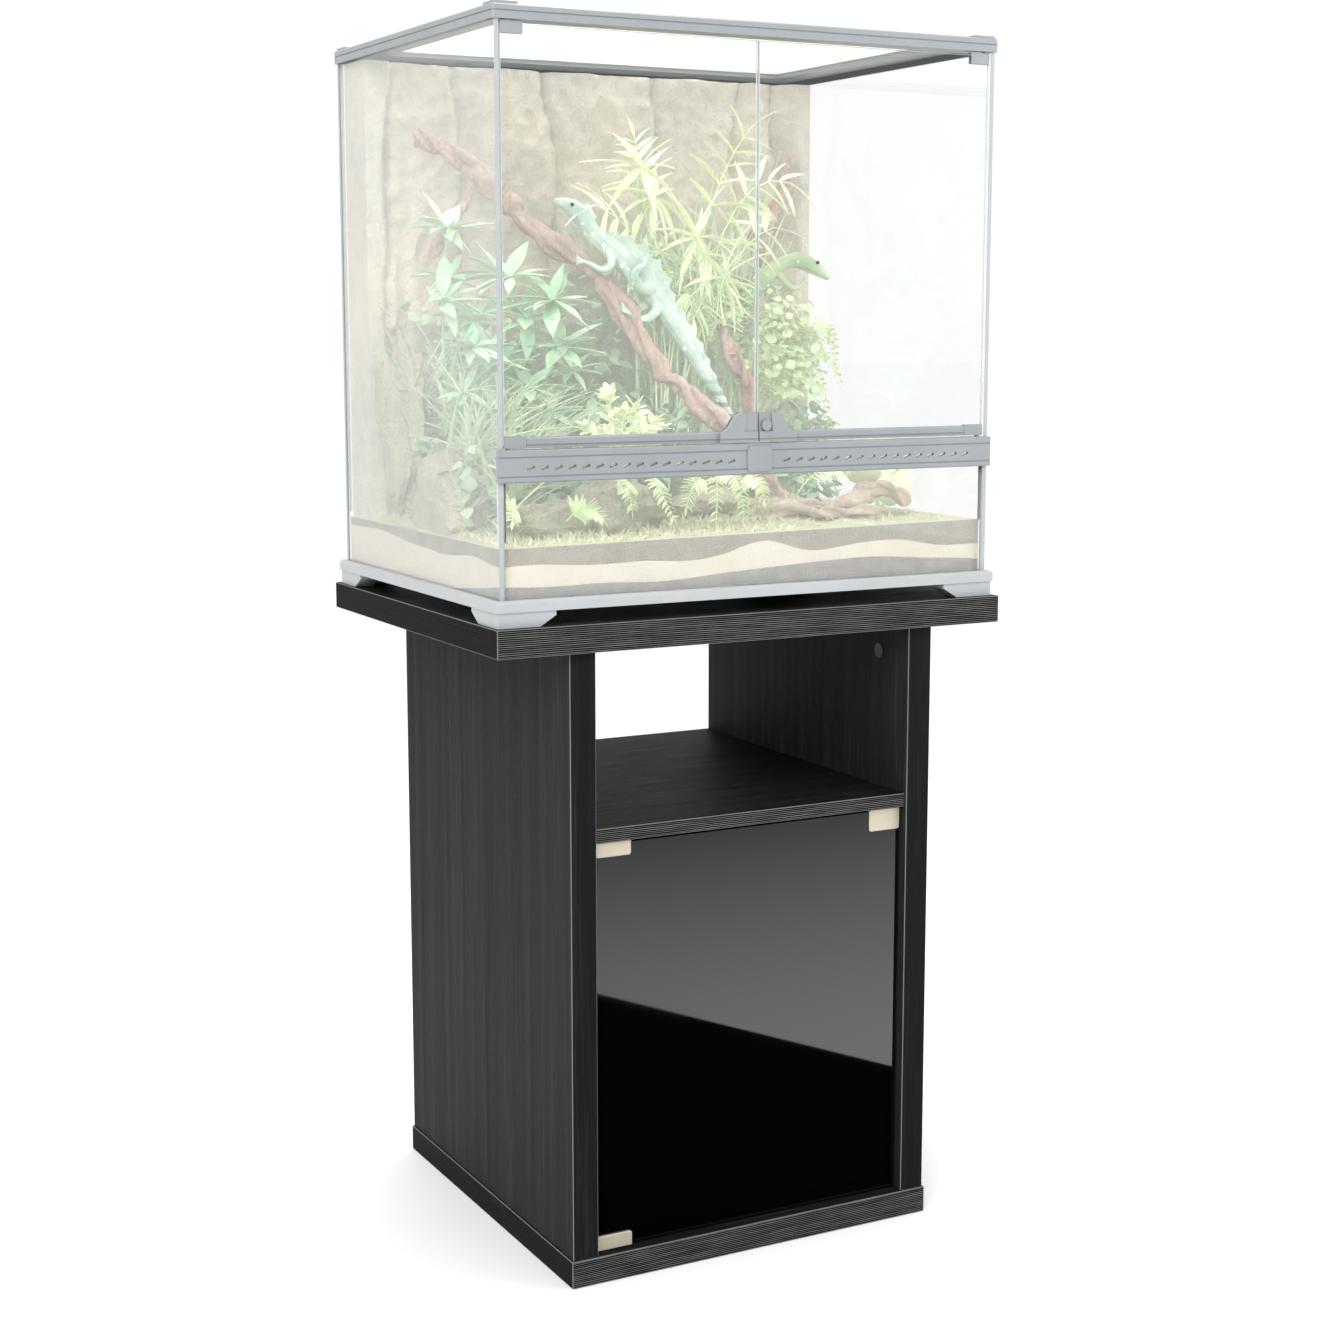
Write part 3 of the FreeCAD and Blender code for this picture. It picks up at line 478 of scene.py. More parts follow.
@dataclass(frozen=True)
class WoodGrain(Finish):
    """Black wood-grain melamine with its edge banding."""

    name: str
    grain: Grain
    dark: Colour = (0.009, 0.0088, 0.0084)
    light: Colour = (0.050, 0.048, 0.045)
    # pale arris colour: a painted highlight along the board edges, partly the banding's pale glue line
    arris: Colour = (0.17, 0.175, 0.175)
    lines: float = 620.0
    along: float = 9.0
    edge_ribs: float = 150.0
    edge_dark: Colour = (0.003, 0.0029, 0.0028)
    # pale rib tops of the banding: a painted highlight
    edge_light: Colour = (0.22, 0.222, 0.218)
    band_dark: Colour = (0.009, 0.010, 0.011)
    band_light: Colour = (0.020, 0.022, 0.0235)
    rib_depth: float = 0.5

    def figure(self, shader: Shader, stretch: Point) -> bpy.types.NodeOutputs:
        """Fibres that run one way."""
        return shader.effect(wood_figure(), Stretch=stretch, Pores=1.0).outputs

    def ribs(self, shader: Shader) -> bpy.types.NodeSocket:
        """Level embossed lines of the edge banding.

        Args:
            shader: the material under construction.

        Returns:
            The lines' height.
        """
        stretched = shader.add("Mapping", {"Vector": shader.place, "Scale": (0.02, 0.02, 1.0)})
        wave = shader.add("TexWave", {"Vector": stretched.outputs[0], "Scale": self.edge_ribs,
                                      "Distortion": 1.6,
                                      "Detail": 3.0, "Detail Scale": 0.35},
                          wave_type="BANDS", bands_direction="Z", wave_profile="SIN")
        return shader.ramp(wave.outputs["Fac"], 0.5, 0.85)

    def shade(self) -> Shader:
        """Fibres along the board, turned on its end faces, with banding and painted highlights on its edges.

        Returns:
            The shader.
        """
        shader = Shader(self.name)
        facing = shader.split(shader.facing)
        frontal = shader.math("ABSOLUTE", facing["Y"])
        if self.grain is Grain.UPRIGHT:
            main = self.figure(shader, (self.lines, self.lines, self.along))
            mask, height, edge = main["Mask"], main["Height"], frontal
            band_tone_and_rib_highlight = shader.blend(mask, self.band_dark, self.band_light)
        else:
            main = self.figure(shader, (self.along, self.lines, self.lines))
            side = self.figure(shader, (self.lines, self.along, self.lines))
            ends = shader.math("ABSOLUTE", facing["X"])
            ribs = self.ribs(shader)
            uneven = shader.clouded(1.0, 1.6, stretch=(20.0, 20.0, 420.0)).outputs["Mask"]
            # painted highlight on the banding's ribs, strong on faces that look forward and weak on side
            # faces
            front_rib_highlight = shader.math("MULTIPLY", shader.math("MULTIPLY_ADD", frontal, 0.9, 0.1), ribs)
            band_tone_and_rib_highlight = shader.blend(shader.math("MULTIPLY", front_rib_highlight, uneven), self.edge_dark, self.edge_light)
            edge = shader.math("SUBTRACT", 1.0, shader.math("ABSOLUTE", facing["Z"]))
            mask = self.choose(shader, ends, main["Mask"], side["Mask"])
            height = self.choose(shader, ends, main["Height"], side["Height"])
            height = self.choose(shader, edge, height, ribs)
        plain = shader.blend(mask, self.dark, self.light)
        both = shader.blend(shader.math("GREATER_THAN", edge, CREASE), plain, band_tone_and_rib_highlight)
        # pale painted highlight on the arrises, partly the banding's glue line
        shader.tint(shader.blend(self.slope(shader), both, self.arris))
        shader.put(IOR=1.13, Specular_IOR_Level=0.25)
        shader.spread(height, "Roughness", 0.42, 0.6)
        shader.relief(height, self.rib_depth, 0.6)
        return shader

    @staticmethod
    def slope(shader: Shader) -> bpy.types.NodeSocket:
        """A mask that is high on the narrow arrises between two faces.

        Args:
            shader: the material under construction.

        Returns:
            The mask.
        """
        squares = shader.add("VectorMath", {"0": shader.facing, "1": shader.facing}, operation="MULTIPLY")
        length = shader.add("VectorMath", {"0": squares.outputs[0]}, operation="LENGTH")
        return shader.math("LESS_THAN", length.outputs["Value"], ARRIS)

    @staticmethod
    def choose(shader: Shader, edge: bpy.types.NodeSocket, first: bpy.types.NodeSocket,
               second: bpy.types.NodeSocket) -> bpy.types.NodeSocket:
        """One value on most faces and another where a mask is high."""
        wires = {"0": shader.math("GREATER_THAN", edge, CREASE), "2": first, "3": second}
        return shader.add("Mix", wires, data_type="FLOAT").outputs[0]


@dataclass(frozen=True)
class Moulded(Finish):
    """Moulded plastic or rubber with a fine tooth."""

    name: str
    colour: Colour
    roughness: float = 0.42
    tooth: float = 0.04

    def shade(self) -> Shader:
        """A slightly uneven tone, a fine tooth and a film of dust.

        Returns:
            The shader.
        """
        shader = Shader(self.name)
        shader.tint(shader.clouded(18.0, 1.6, shaded(self.colour, 0.86), self.colour).outputs["Colour"])
        film = shader.effect(dust(), Scale=30.0).outputs
        shader.spread(film["Mask"], "Roughness", self.roughness - 0.08, self.roughness + 0.1)
        shader.relief(film["Height"], self.tooth)
        return shader


@dataclass(frozen=True)
class Grooved(Moulded):
    """Moulded plastic with fine level grooves at given heights."""

    lines: tuple[float, ...] = ()
    groove: float = 0.7

    def shade(self) -> Shader:
        """The moulded plastic, sunk along its grooves, with painted shade in them.

        Returns:
            The shader.
        """
        shader = super().shade()
        level = shader.split(shader.place)["Z"]
        grooves = [shader.math("COMPARE", level, line * MM, self.groove * MM) for line in self.lines]
        mask = functools.reduce(functools.partial(shader.math, "MAXIMUM"), grooves)
        # painted shade in the grooves
        shader.tint(shader.blend(mask, shader.fed("Base Color"), shaded(self.colour, 0.62)))
        wires = {"Distance": 0.4 * MM, "Height": mask, "Normal": shader.fed("Normal")}
        sunk = shader.add("Bump", wires, invert=True)
        shader.wire(sunk.outputs["Normal"], shader.surface.inputs["Normal"])
        return shader


@dataclass(frozen=True)
class Metal(Finish):
    """Brushed or plated metal."""

    name: str
    colour: Colour
    roughness: float = 0.3
    brush: Point = (20.0, 900.0, 900.0)
    metallic: float = 1.0

    def shade(self) -> Shader:
        """Fine brushing one way.

        Returns:
            The shader.
        """
        shader = Shader(self.name)
        tone = shader.clouded(1.0, 1.4, shaded(self.colour, 0.8), self.colour, self.brush).outputs
        shader.tint(tone["Colour"])
        shader.put(Metallic=self.metallic)
        shader.spread(tone["Mask"], "Roughness", self.roughness, self.roughness + 0.18)
        shader.relief(tone["Mask"], 0.02)
        return shader


@dataclass(frozen=True)
class ClearGlass(Finish):
    """Clear float glass that lets lamp light through without a dark shadow."""

    name: str = "clear_glass"

    def shade(self) -> Shader:
        """Plain transmission, with a clear path for shadow rays.

        Returns:
            The shader.
        """
        shader = Shader(self.name)
        shader.put(Base_Color=(0.985, 0.995, 0.992, 1.0), Roughness=0.0, IOR=1.45, Transmission_Weight=1.0)
        shader.spread(shader.effect(dust(), Scale=6.0).outputs["Mask"], "Roughness", 0.0, 0.012)
        shadow = shader.add("LightPath").outputs["Is Shadow Ray"]
        clear = shader.add("BsdfTransparent", {"0": (0.97, 0.985, 0.98, 1.0)}).outputs[0]
        mix = shader.add("MixShader", {"0": shadow, "1": shader.surface.outputs[0], "2": clear})
        shader.wire(mix.outputs[0], shader.tree.nodes["Material Output"].inputs["Surface"])
        return shader


@dataclass(frozen=True)
class SmokedGlass(Finish):
    """Black smoked glass with a deep gloss."""

    name: str = "smoked_glass"

    def shade(self) -> Shader:
        """A near black body under a clear gloss, with a breath of dust.

        Returns:
            The shader.
        """
        shader = Shader(self.name)
        tone = shader.clouded(7.0, 1.2, (0.0006, 0.0006, 0.0008), (0.0012, 0.0013, 0.0015))
        shader.tint(tone.outputs["Colour"])
        shader.put(IOR=1.6, Specular_IOR_Level=0.85, Coat_Weight=1.0, Coat_Roughness=0.0, Coat_IOR=1.6)
        shader.spread(shader.effect(dust(), Scale=9.0).outputs["Mask"], "Roughness", 0.015, 0.05)
        return shader


@dataclass(frozen=True)
class Earthy(Finish):
    """Stone, sand, soil or bark: two tones, a coarse relief and a fine one."""

    name: str
    first: Colour
    second: Colour
    accent: Colour
    scale: float = 14.0
    stretch: Point = EVEN
    grit: float = 420.0
    depth: float = 1.2
    # lift: strength of a faint painted glow that lifts the shade; the stone is no lamp
    lift: float = 0.2

    def shade(self) -> Shader:
        """Broad tones, accents in the hollows, grit over all, and a faint painted glow that lifts the shade.

        Returns:
            The shader.
        """
        shader = Shader(self.name)
        broad = shader.clouded(self.scale, 2.6, self.first, self.second, self.stretch).outputs["Colour"]
        fine = shader.clouded(self.scale * 9.0, 2.2, stretch=self.stretch).outputs["Mask"]
        grit = shader.clouded(self.grit, 2.0).outputs["Mask"]
        shader.tint(shader.blend(shader.math("MULTIPLY", fine, 0.55), broad, self.accent))
        # a faint painted glow pales the shade in the hollows
        shader.put(Roughness=0.88, Specular_IOR_Level=0.25, Emission_Color=PAINTED_GLOW,
                   Emission_Strength=self.lift)
        shader.relief(shader.math("MULTIPLY_ADD", grit, 0.45, fine), self.depth)
        return shader


@dataclass(frozen=True)
class Turf(Earthy):
    """Soil that is grown over with moss where it faces up."""

    moss: Colour = (0.58, 0.58, 0.43)
    straw: Colour = (0.66, 0.63, 0.49)

    def shade(self) -> Shader:
        """The soil's own tones, with a mossy film on the level parts.

        Returns:
            The shader.
        """
        shader = super().shade()
        green = shader.clouded(38.0, 3.0, self.moss, self.straw).outputs["Colour"]
        upward = shader.ramp(shader.split(shader.facing)["Z"], 0.4, 0.8)
        shader.tint(shader.blend(upward, shader.fed("Base Color"), green))
        return shader


@dataclass(frozen=True)
class Foliage(Finish):
    """A leaf: two greens, faint veins, a waxy sheen, light through the blade and a faint painted glow."""

    name: str
    first: Colour
    second: Colour
    scale: float = 26.0
    gloss: float = 0.42

    def shade(self) -> Shader:
        """Uneven greens over the plant, and fine ribs on each blade.

        Returns:
            The shader.
        """
        shader = Shader(self.name)
        shader.tint(shader.clouded(self.scale, 3.0, self.first, self.second).outputs["Colour"])
        veins = shader.clouded(340.0, 2.0).outputs["Mask"]
        shader.spread(veins, "Roughness", self.gloss - 0.06, self.gloss + 0.12)
        shader.relief(veins, 0.25)
        # a faint painted glow lifts the leaves' shade; the leaf is no lamp
        shader.put(Subsurface_Weight=0.18, Subsurface_Scale=0.004, Specular_IOR_Level=0.4,
                   Emission_Color=PAINTED_GLOW, Emission_Strength=0.17)
        return shader


@dataclass(frozen=True)
class Skin(Finish):
    """Reptile skin: scales, two tones down the body, pale flecks and dark bars on the tail."""

    name: str
    first: Colour
    second: Colour
    fleck: Colour
    bar: Colour
    bar_level: float = 0.955

    @staticmethod
    def cells(shader: Shader, scale: float) -> bpy.types.NodeSocket:
        """Distance from the middle of the nearest cell."""
        wires = {"Vector": shader.place, "Scale": scale}
        return shader.add("TexVoronoi", wires, feature="F1").outputs["Distance"]

    def shade(self) -> Shader:
        """Tones from a cloud, scales from cells, bars where the tail hangs low, and a faint painted glow.

        Returns:
            The shader.
        """
        shader = Shader(self.name)
        tone = shader.clouded(22.0, 3.0, self.first, self.second).outputs["Colour"]
        scales = self.cells(shader, 620.0)
        spotted = shader.blend(shader.ramp(self.cells(shader, 85.0), 0.24, 0.16), tone, self.fleck)
        level = shader.split(shader.place)["Z"]
        ring = shader.ramp(shader.math("SINE", shader.math("MULTIPLY", level, 480.0)), 0.1, 0.5)
        low = shader.ramp(level, self.bar_level + 0.02, self.bar_level - 0.02)
        shader.tint(shader.blend(shader.math("MULTIPLY", ring, low), spotted, self.bar))
        # a faint painted glow lifts the skin's shade; the animal is no lamp
        shader.put(Subsurface_Weight=0.1, Subsurface_Scale=0.004, Emission_Color=PAINTED_GLOW,
                   Emission_Strength=0.14)
        shader.spread(scales, "Roughness", 0.36, 0.6)
        shader.relief(scales, 0.35)
        return shader


# ---- finishes of this object ----------------------------------------------------------------------
LEVEL_BOARD = WoodGrain("level_board", Grain.ACROSS)
SHELF_BOARD = WoodGrain("shelf_board", Grain.ACROSS, dark=(0.010, 0.0086, 0.0072),
                        light=(0.047, 0.041, 0.033))
UPRIGHT_BOARD = WoodGrain("upright_board", Grain.UPRIGHT, dark=(0.018, 0.0182, 0.0178),
                          light=(0.049, 0.0495, 0.0475),
                          rib_depth=0.3)
HARDBOARD = Moulded("hardboard_back", (0.03, 0.029, 0.028), 0.6, 0.12)
BLACK_PLASTIC = Moulded("black_plastic", (0.012, 0.012, 0.013), 0.45)
FRAME_PLASTIC = Moulded("frame_plastic", (0.27, 0.29, 0.305), 0.34)
RAIL_PLASTIC = Grooved("rail_plastic", (0.27, 0.29, 0.305), 0.32, lines=(873.0, 892.5, 904.5))
BASE_PLASTIC = Moulded("base_plastic", (0.42, 0.44, 0.45), 0.34)
PAD_PLASTIC = Moulded("pad_plastic", (0.55, 0.56, 0.56), 0.3)
SILICONE = Moulded("silicone", (0.74, 0.76, 0.76), 0.25)
NICKEL = Metal("brushed_nickel", (0.74, 0.67, 0.53), 0.42, metallic=0.55)
ZINC = Metal("zinc_steel", (0.62, 0.62, 0.6), 0.3)
MESH_STEEL = Metal("mesh_steel", (0.93, 0.91, 0.86), 0.5)
BEECH = Earthy("beech_dowel", (0.5, 0.32, 0.16), (0.62, 0.42, 0.22), (0.4, 0.24, 0.12), 40.0, (6.0, 6.0, 1.0))
GLASS = ClearGlass()
GROUND_EDGE = Moulded("ground_glass_edge", (0.38, 0.405, 0.41), 0.35)
# pale door-pane edges: ground glass, lightened as a painted highlight along the gap between the two doors
DOOR_EDGE_AND_HIGHLIGHT = Moulded("door_glass_edge_and_highlight", (0.56, 0.60, 0.61), 0.3)
SMOKED = SmokedGlass()
# lift sets the strength of each finish's painted glow that lifts its shade
ROCK = Earthy("foam_rock", (0.60, 0.50, 0.36), (0.38, 0.37, 0.32), (0.66, 0.62, 0.50), 7.0, depth=3.2,
              lift=0.19)
GRAVEL = Earthy("gravel", (0.40, 0.38, 0.37), (0.50, 0.485, 0.47), (0.3, 0.29, 0.28), 60.0, depth=1.2,
                lift=0.0)
SAND = Earthy("cream_sand", (0.63, 0.585, 0.50), (0.69, 0.65, 0.57), (0.58, 0.52, 0.44), 30.0, depth=0.5,
              lift=0.0)
SOIL = Turf("mossy_soil", (0.43, 0.40, 0.35), (0.33, 0.31, 0.27), (0.50, 0.475, 0.41), 45.0, depth=1.5,
            lift=0.03)
BARK = Earthy("vine_bark", (0.46, 0.31, 0.24), (0.62, 0.50, 0.42), (0.27, 0.17, 0.13), 26.0, (1.0, 1.0, 0.5),
              depth=2.2, lift=0.16)
DRIFT = Earthy("driftwood_bark", (0.42, 0.33, 0.24), (0.58, 0.5, 0.4), (0.3, 0.22, 0.15), 30.0,
               (0.5, 1.0, 1.0))
BOULDER = Earthy("boulder_stone", (0.52, 0.45, 0.35), (0.33, 0.34, 0.25), (0.54, 0.55, 0.36), 18.0, depth=3.0,
                 lift=0.14)
PALM_LEAF = Foliage("palm_leaf", (0.58, 0.68, 0.36), (0.80, 0.83, 0.58))
REED_LEAF = Foliage("reed_leaf", (0.34, 0.45, 0.30), (0.50, 0.60, 0.42))
BROAD_LEAF = Foliage("umbrella_leaf", (0.27, 0.44, 0.28), (0.47, 0.62, 0.42))
IVY_LEAF = Foliage("ivy_leaf", (0.25, 0.36, 0.24), (0.43, 0.54, 0.36))
GRASS_LEAF = Foliage("grass_leaf", (0.33, 0.44, 0.30), (0.50, 0.60, 0.40))
MAIDEN_LEAF = Foliage("maidenhair_leaf", (0.42, 0.52, 0.29), (0.60, 0.68, 0.43))
STAG_LEAF = Foliage("staghorn_leaf", (0.56, 0.66, 0.38), (0.70, 0.77, 0.52))
FERN_LEAF = Foliage("fern_leaf", (0.6, 0.74, 0.4), (0.76, 0.84, 0.54))
PAD_LEAF = Foliage("pad_leaf", (0.56, 0.68, 0.42), (0.74, 0.80, 0.58), 20.0)
MOSS_LEAF = Foliage("moss_leaf", (0.44, 0.48, 0.32), (0.60, 0.60, 0.44))
BASILISK = Skin("basilisk_skin", (0.27, 0.38, 0.31), (0.55, 0.63, 0.53), (0.78, 0.82, 0.74),
                (0.20, 0.19, 0.15))
DARK_LIZARD = Skin("dark_lizard_skin", (0.26, 0.36, 0.20), (0.42, 0.50, 0.30), (0.62, 0.70, 0.50),
                   (0.14, 0.16, 0.10))
EYE = Moulded("eye", (0.02, 0.015, 0.01), 0.12, 0.0)

CAD_FINISHES: dict[str, Finish] = {
    "top_panel": LEVEL_BOARD, "bottom_panel": LEVEL_BOARD, "middle_shelf": SHELF_BOARD,
    "side_panel_left": UPRIGHT_BOARD, "side_panel_right": UPRIGHT_BOARD, "lower_back_panel": HARDBOARD,
    "cam_bolts": ZINC, "cam_discs": ZINC, "cam_cover_caps": BLACK_PLASTIC, "wood_dowels": BEECH,
    "back_panel_screws": ZINC, "door_pivot_bushes": BLACK_PLASTIC, "latch_housing": BLACK_PLASTIC,
    "latch_screws": ZINC, "latch_plunger": BLACK_PLASTIC, "latch_magnet": ZINC,
    "cabinet_door_glass": SMOKED, "hinge_clip_top": NICKEL, "hinge_clip_bottom": NICKEL,
    "hinge_pivot_pins": ZINC, "hinge_clip_pads": PAD_PLASTIC, "hinge_clip_screws": ZINC,
                                   "strike_clip": NICKEL,
    "base_frame": BASE_PLASTIC, "bottom_glass": GLASS, "back_glass": GLASS, "left_glass": GLASS,
    "right_glass": GLASS, "front_lower_glass": GLASS, "silicone_seams": SILICONE, "top_frame": FRAME_PLASTIC,
    "vent_rail": RAIL_PLASTIC, "vent_mesh": MESH_STEEL, "name_plate_blank": FRAME_PLASTIC,
    "door_left_glass": GLASS, "door_left_rail": RAIL_PLASTIC, "door_left_hinge_blocks": FRAME_PLASTIC,
    "door_right_glass": GLASS, "door_right_rail": RAIL_PLASTIC, "door_right_hinge_blocks": FRAME_PLASTIC,
    "door_lock_knob": FRAME_PLASTIC, "door_lock_tongue": ZINC, "lid_frame": FRAME_PLASTIC,
    "lid_mesh": MESH_STEEL, "lid_lock_left": FRAME_PLASTIC, "lid_lock_right": FRAME_PLASTIC,
    "cable_gate_left": FRAME_PLASTIC, "cable_gate_right": FRAME_PLASTIC, "gravel_bed": GRAVEL,
    "sand_bed": SAND, "soil_bed": SOIL, "rock_background": ROCK, "branch": BARK, "driftwood": DRIFT,
}


# ---- growing things -------------------------------------------------------------------------------
TANK = "terrarium"
ROOM_LOW, ROOM_HIGH = Vector((-289.0, -210.0, 790.0)), Vector((289.0, 212.0, 1311.0))


def in_room(place: Vector) -> bool:
    """Whether a point, in millimetres, is inside the tank."""
    return all(low <= value <= high for low, value, high in zip(ROOM_LOW, place, ROOM_HIGH))


def aimed(place: Vector, along: Vector, roll: float = 0.0, scale: float = 1.0) -> Matrix:
    """Where a piece goes that lies along Y with its face up.

    Args:
        place: its root, in millimetres.
        along: the way it points.
        roll: its turn about its own length.
        scale: its size.

    Returns:
        The matrix that puts it there.
    """
    ahead = along.normalized()
    side = ahead.cross(Vector((0.0, 0.0, 1.0)))
    side = side.normalized() if side.length > 0.01 else Vector((1.0, 0.0, 0.0))
    turn = Matrix((side, ahead, side.cross(ahead))).transposed().to_4x4()
    return (Matrix.Translation(place * MM) @ turn @ Matrix.Rotation(roll, 4, "Y") @ Matrix.Scale(scale, 4))


@dataclass(frozen=True)
class Arc:
    """A stem's smooth line from its root to its tip, in millimetres."""

    root: Point
    bend: Point
    tip: Point

    def at(self, share: float) -> Vector:
        """The point at a share of the way along."""
        a, b, c = Vector(self.root), Vector(self.bend), Vector(self.tip)
        return a.lerp(b, share).lerp(b.lerp(c, share), share)

    def heading(self, share: float) -> Vector:
        """The direction at a share of the way along."""
        a, b, c = Vector(self.root), Vector(self.bend), Vector(self.tip)
        return (b - a).lerp(c - b, share).normalized()


@dataclass(frozen=True)
class Blade:
    """A thin leaf that is modelled once and copied."""

    length: float
    width: float
    profile: tuple[float, ...] = (0.25, 0.8, 1.0, 0.78, 0.42, 0.04)
    droop: float = 0.0
    fold: float = 0.0
    thick: float = 0.45

    def build(self) -> bpy.types.Object:
        """Shape a small grid row by row, fold it along its rib and give it a thickness.

        Returns:
            The leaf, lying along Y from the origin.
        """
        rows = len(self.profile) - 1
        Bench.take()
        bpy.ops.mesh.primitive_grid_add(x_subdivisions=2, y_subdivisions=rows, size=1.0)
        leaf = bpy.context.object
        Bench.pick(leaf, lambda place: True)
        bpy.ops.transform.translate(value=(0.0, 0.5, 0.0))
        bpy.ops.transform.resize(value=(self.width * MM, self.length * MM, 1.0),
                                 center_override=(0.0, 0.0, 0.0))
        Bench.done()
        for row, share in enumerate(self.profile):
            along = row / rows
            level = along * self.length * MM
            Bench.pick(leaf, lambda place, y=level: abs(place.y - y) < 0.2 * self.length * MM / rows)
            bpy.ops.transform.resize(value=(share, 1.0, 1.0), center_override=(0.0, level, 0.0))
            bpy.ops.transform.translate(value=(0.0, 0.0, -self.droop * MM * along ** 2))
            Bench.done()
        Bench.pick(leaf, lambda place: abs(place.x) < 0.00001)
        bpy.ops.transform.translate(value=(0.0, 0.0, -self.fold * MM))
        Bench.done()
        modifier(leaf, "SOLIDIFY", thickness=self.thick * MM, offset=0.0)
        Bench.settle(leaf)
        return leaf


@dataclass
class Growth:
    """A plant: stems and copied leaves, joined to one piece."""

    name: str
    finish: Finish
    slot: str
    seed: int
    nodes: tuple[str, ...] = ()
    stems: list[tuple[Sequence[Point], Sequence[float]]] = field(default_factory=list)
    leaves: list[bpy.types.Object] = field(default_factory=list)
    dropped: list[Vector] = field(default_factory=list)

    def __post_init__(self) -> None:
        """Start the plant's own run of random numbers."""
        self.luck = random.Random(self.seed)

    def stem(self, arc: Arc, thick: float, thin: float) -> None:
        """Add a stem along an arc."""
        self.stems.append(((arc.root, arc.bend, arc.tip), (thick, (thick + thin) / 2, thin)))

    def leaf(self, pattern: bpy.types.Object, place: Vector, along: Vector, roll: float = 0.0,
             scale: float = 1.0) -> None:
        """Add a leaf unless it would leave the tank.

        Args:
            pattern: the leaf to copy.
            place: its root, in millimetres.
            along: the way it points.
            roll: its turn about its own length.
            scale: its size.
        """
        where = aimed(place, along, roll, scale)
        if all(in_room(where @ vertex.co / MM) for vertex in pattern.data.vertices):
            self.leaves.append(Bench.copy(pattern, where))
        else:
            self.dropped.append(place)

    def jitter(self, amount: float) -> Vector:
        """A random push, up to an amount on each axis."""
        return Vector([self.luck.uniform(-amount, amount) for _ in range(3)])

    def frond(self, arc: Arc, pattern: bpy.types.Object, pairs: int, start: float = 0.3, spread: float = 55.0,
              sizes: tuple[float, float] = (1.0, 0.6), sag: float = 0.15, thick: float = 1.3) -> None:
        """A stem with leaflets in pairs and one at its tip.

        Args:
            arc: the stem's line.
            pattern: the leaflet.
            pairs: how many pairs.
            start: share of the stem that is bare.
            spread: angle between leaflet and stem, in degrees.
            sizes: the leaflets' size at the first pair and at the tip.
            sag: how far the leaflets hang.
            thick: the stem's radius at its root.
        """
        self.stem(arc, thick, 0.5)
        for index in range(pairs):
            share = start + (1.0 - start) * (index + self.luck.random() * 0.3) / pairs
            size = sizes[0] + (sizes[1] - sizes[0]) * index / pairs
            ahead = arc.heading(share)
            side = ahead.cross(Vector((0.1, -0.85, 0.5))).normalized()
            for hand in (-1.0, 1.0):
                angle = math.radians(spread + self.luck.uniform(-8.0, 8.0))
                along = ahead * math.cos(angle) + side * hand * math.sin(angle)
                along.z -= sag
                self.leaf(pattern, arc.at(share), along, self.luck.uniform(-0.5, 0.5),
                          size * self.luck.uniform(0.85, 1.1))
        self.leaf(pattern, arc.at(1.0), arc.heading(1.0) + Vector((0.0, 0.0, -sag)), 0.0, sizes[1])

    def whorl(self, place: Vector, axis: Vector, pattern: bpy.types.Object, count: int, lift: float = 0.35,
              size: float = 1.0) -> None:
        """Leaves all round the end of a stem.

        Args:
            place: the end of the stem, in millimetres.
            axis: the way the stem points.
            pattern: the leaf.
            count: how many.
            lift: how far they lean towards the axis.
            size: their size.
        """
        axis = axis.normalized()
        first = axis.orthogonal().normalized()
        begin = self.luck.random() * 6.28
        for index in range(count):
            out = Matrix.Rotation(begin + index * 2.0 * math.pi / count, 3, axis) @ first
            along = out + axis * (lift + self.luck.uniform(-0.2, 0.25)) + self.jitter(0.1)
            self.leaf(pattern, place, along, self.luck.uniform(-0.3, 0.3),
                      size * self.luck.uniform(0.75, 1.15))

    def thicket(self, pattern: bpy.types.Object, low: Point, high: Point, count: int, face: Vector,
                sizes: tuple[float, float] = (0.7, 1.2), keep: Callable[[Vector], bool] = in_room) -> None:
        """Leaves strewn through a box.

        Args:
            pattern: the leaf.
            low: the box's lowest corner.
            high: its highest corner.
            count: how many are tried.
            face: the way they mostly point.
            sizes: smallest and largest size.
            keep: says whether a place takes a leaf.
        """
        for _ in range(count):
            place = Vector([self.luck.uniform(a, b) for a, b in zip(low, high)])
            along = face + self.jitter(0.9)
            if keep(place) and along.length > 0.1:
                self.leaf(pattern, place, along, self.luck.uniform(-0.8, 0.8), self.luck.uniform(*sizes))

    def gather(self, *patterns: bpy.types.Object) -> bpy.types.Object:
        """Join the plant, dress it and plant it.

        Args:
            patterns: leaves that were only copied from.

        Returns:
            The finished plant.
        """
        LOG.info("%s: %d leaves, %d left out at the glass", self.name, len(self.leaves), len(self.dropped))
        parts = list(self.leaves)
        if self.stems:
            parts.append(Bench.limbs(self.stems, 1, 5))
        piece = Bench.join(parts, self.name)
        smooth(piece, 50.0)
        Bench.discard(*patterns)
        return settle_in(piece, self.finish, self.slot, *self.nodes)


def settle_in(piece: bpy.types.Object, finish: Finish, slot: str, *nodes: str,
              body: str = TANK) -> bpy.types.Object:
    """Dress a piece, tie it to its body and hide the CAD nodes it stands for.

    Args:
        piece: the finished piece.
        finish: what it is dressed in.
        slot: the record's slot.
        nodes: the CAD nodes it stands for.
        body: the CAD body it rides on.

    Returns:
        The piece.
    """
    finish.dress(piece)
    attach(piece, body)
    if nodes:
        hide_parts(*nodes)
    LOG.info("%s: %d faces", piece.name, len(piece.data.polygons))
    return piece


# ---- ground ---------------------------------------------------------------------------------------
def heap(x: float, y: float, cx: float, cy: float, wide: float, deep: float, high: float) -> float:
    """Height of a rounded heap at a place, in millimetres."""
    return high * math.exp(-((x - cx) / wide) ** 2 - ((y - cy) / deep) ** 2)


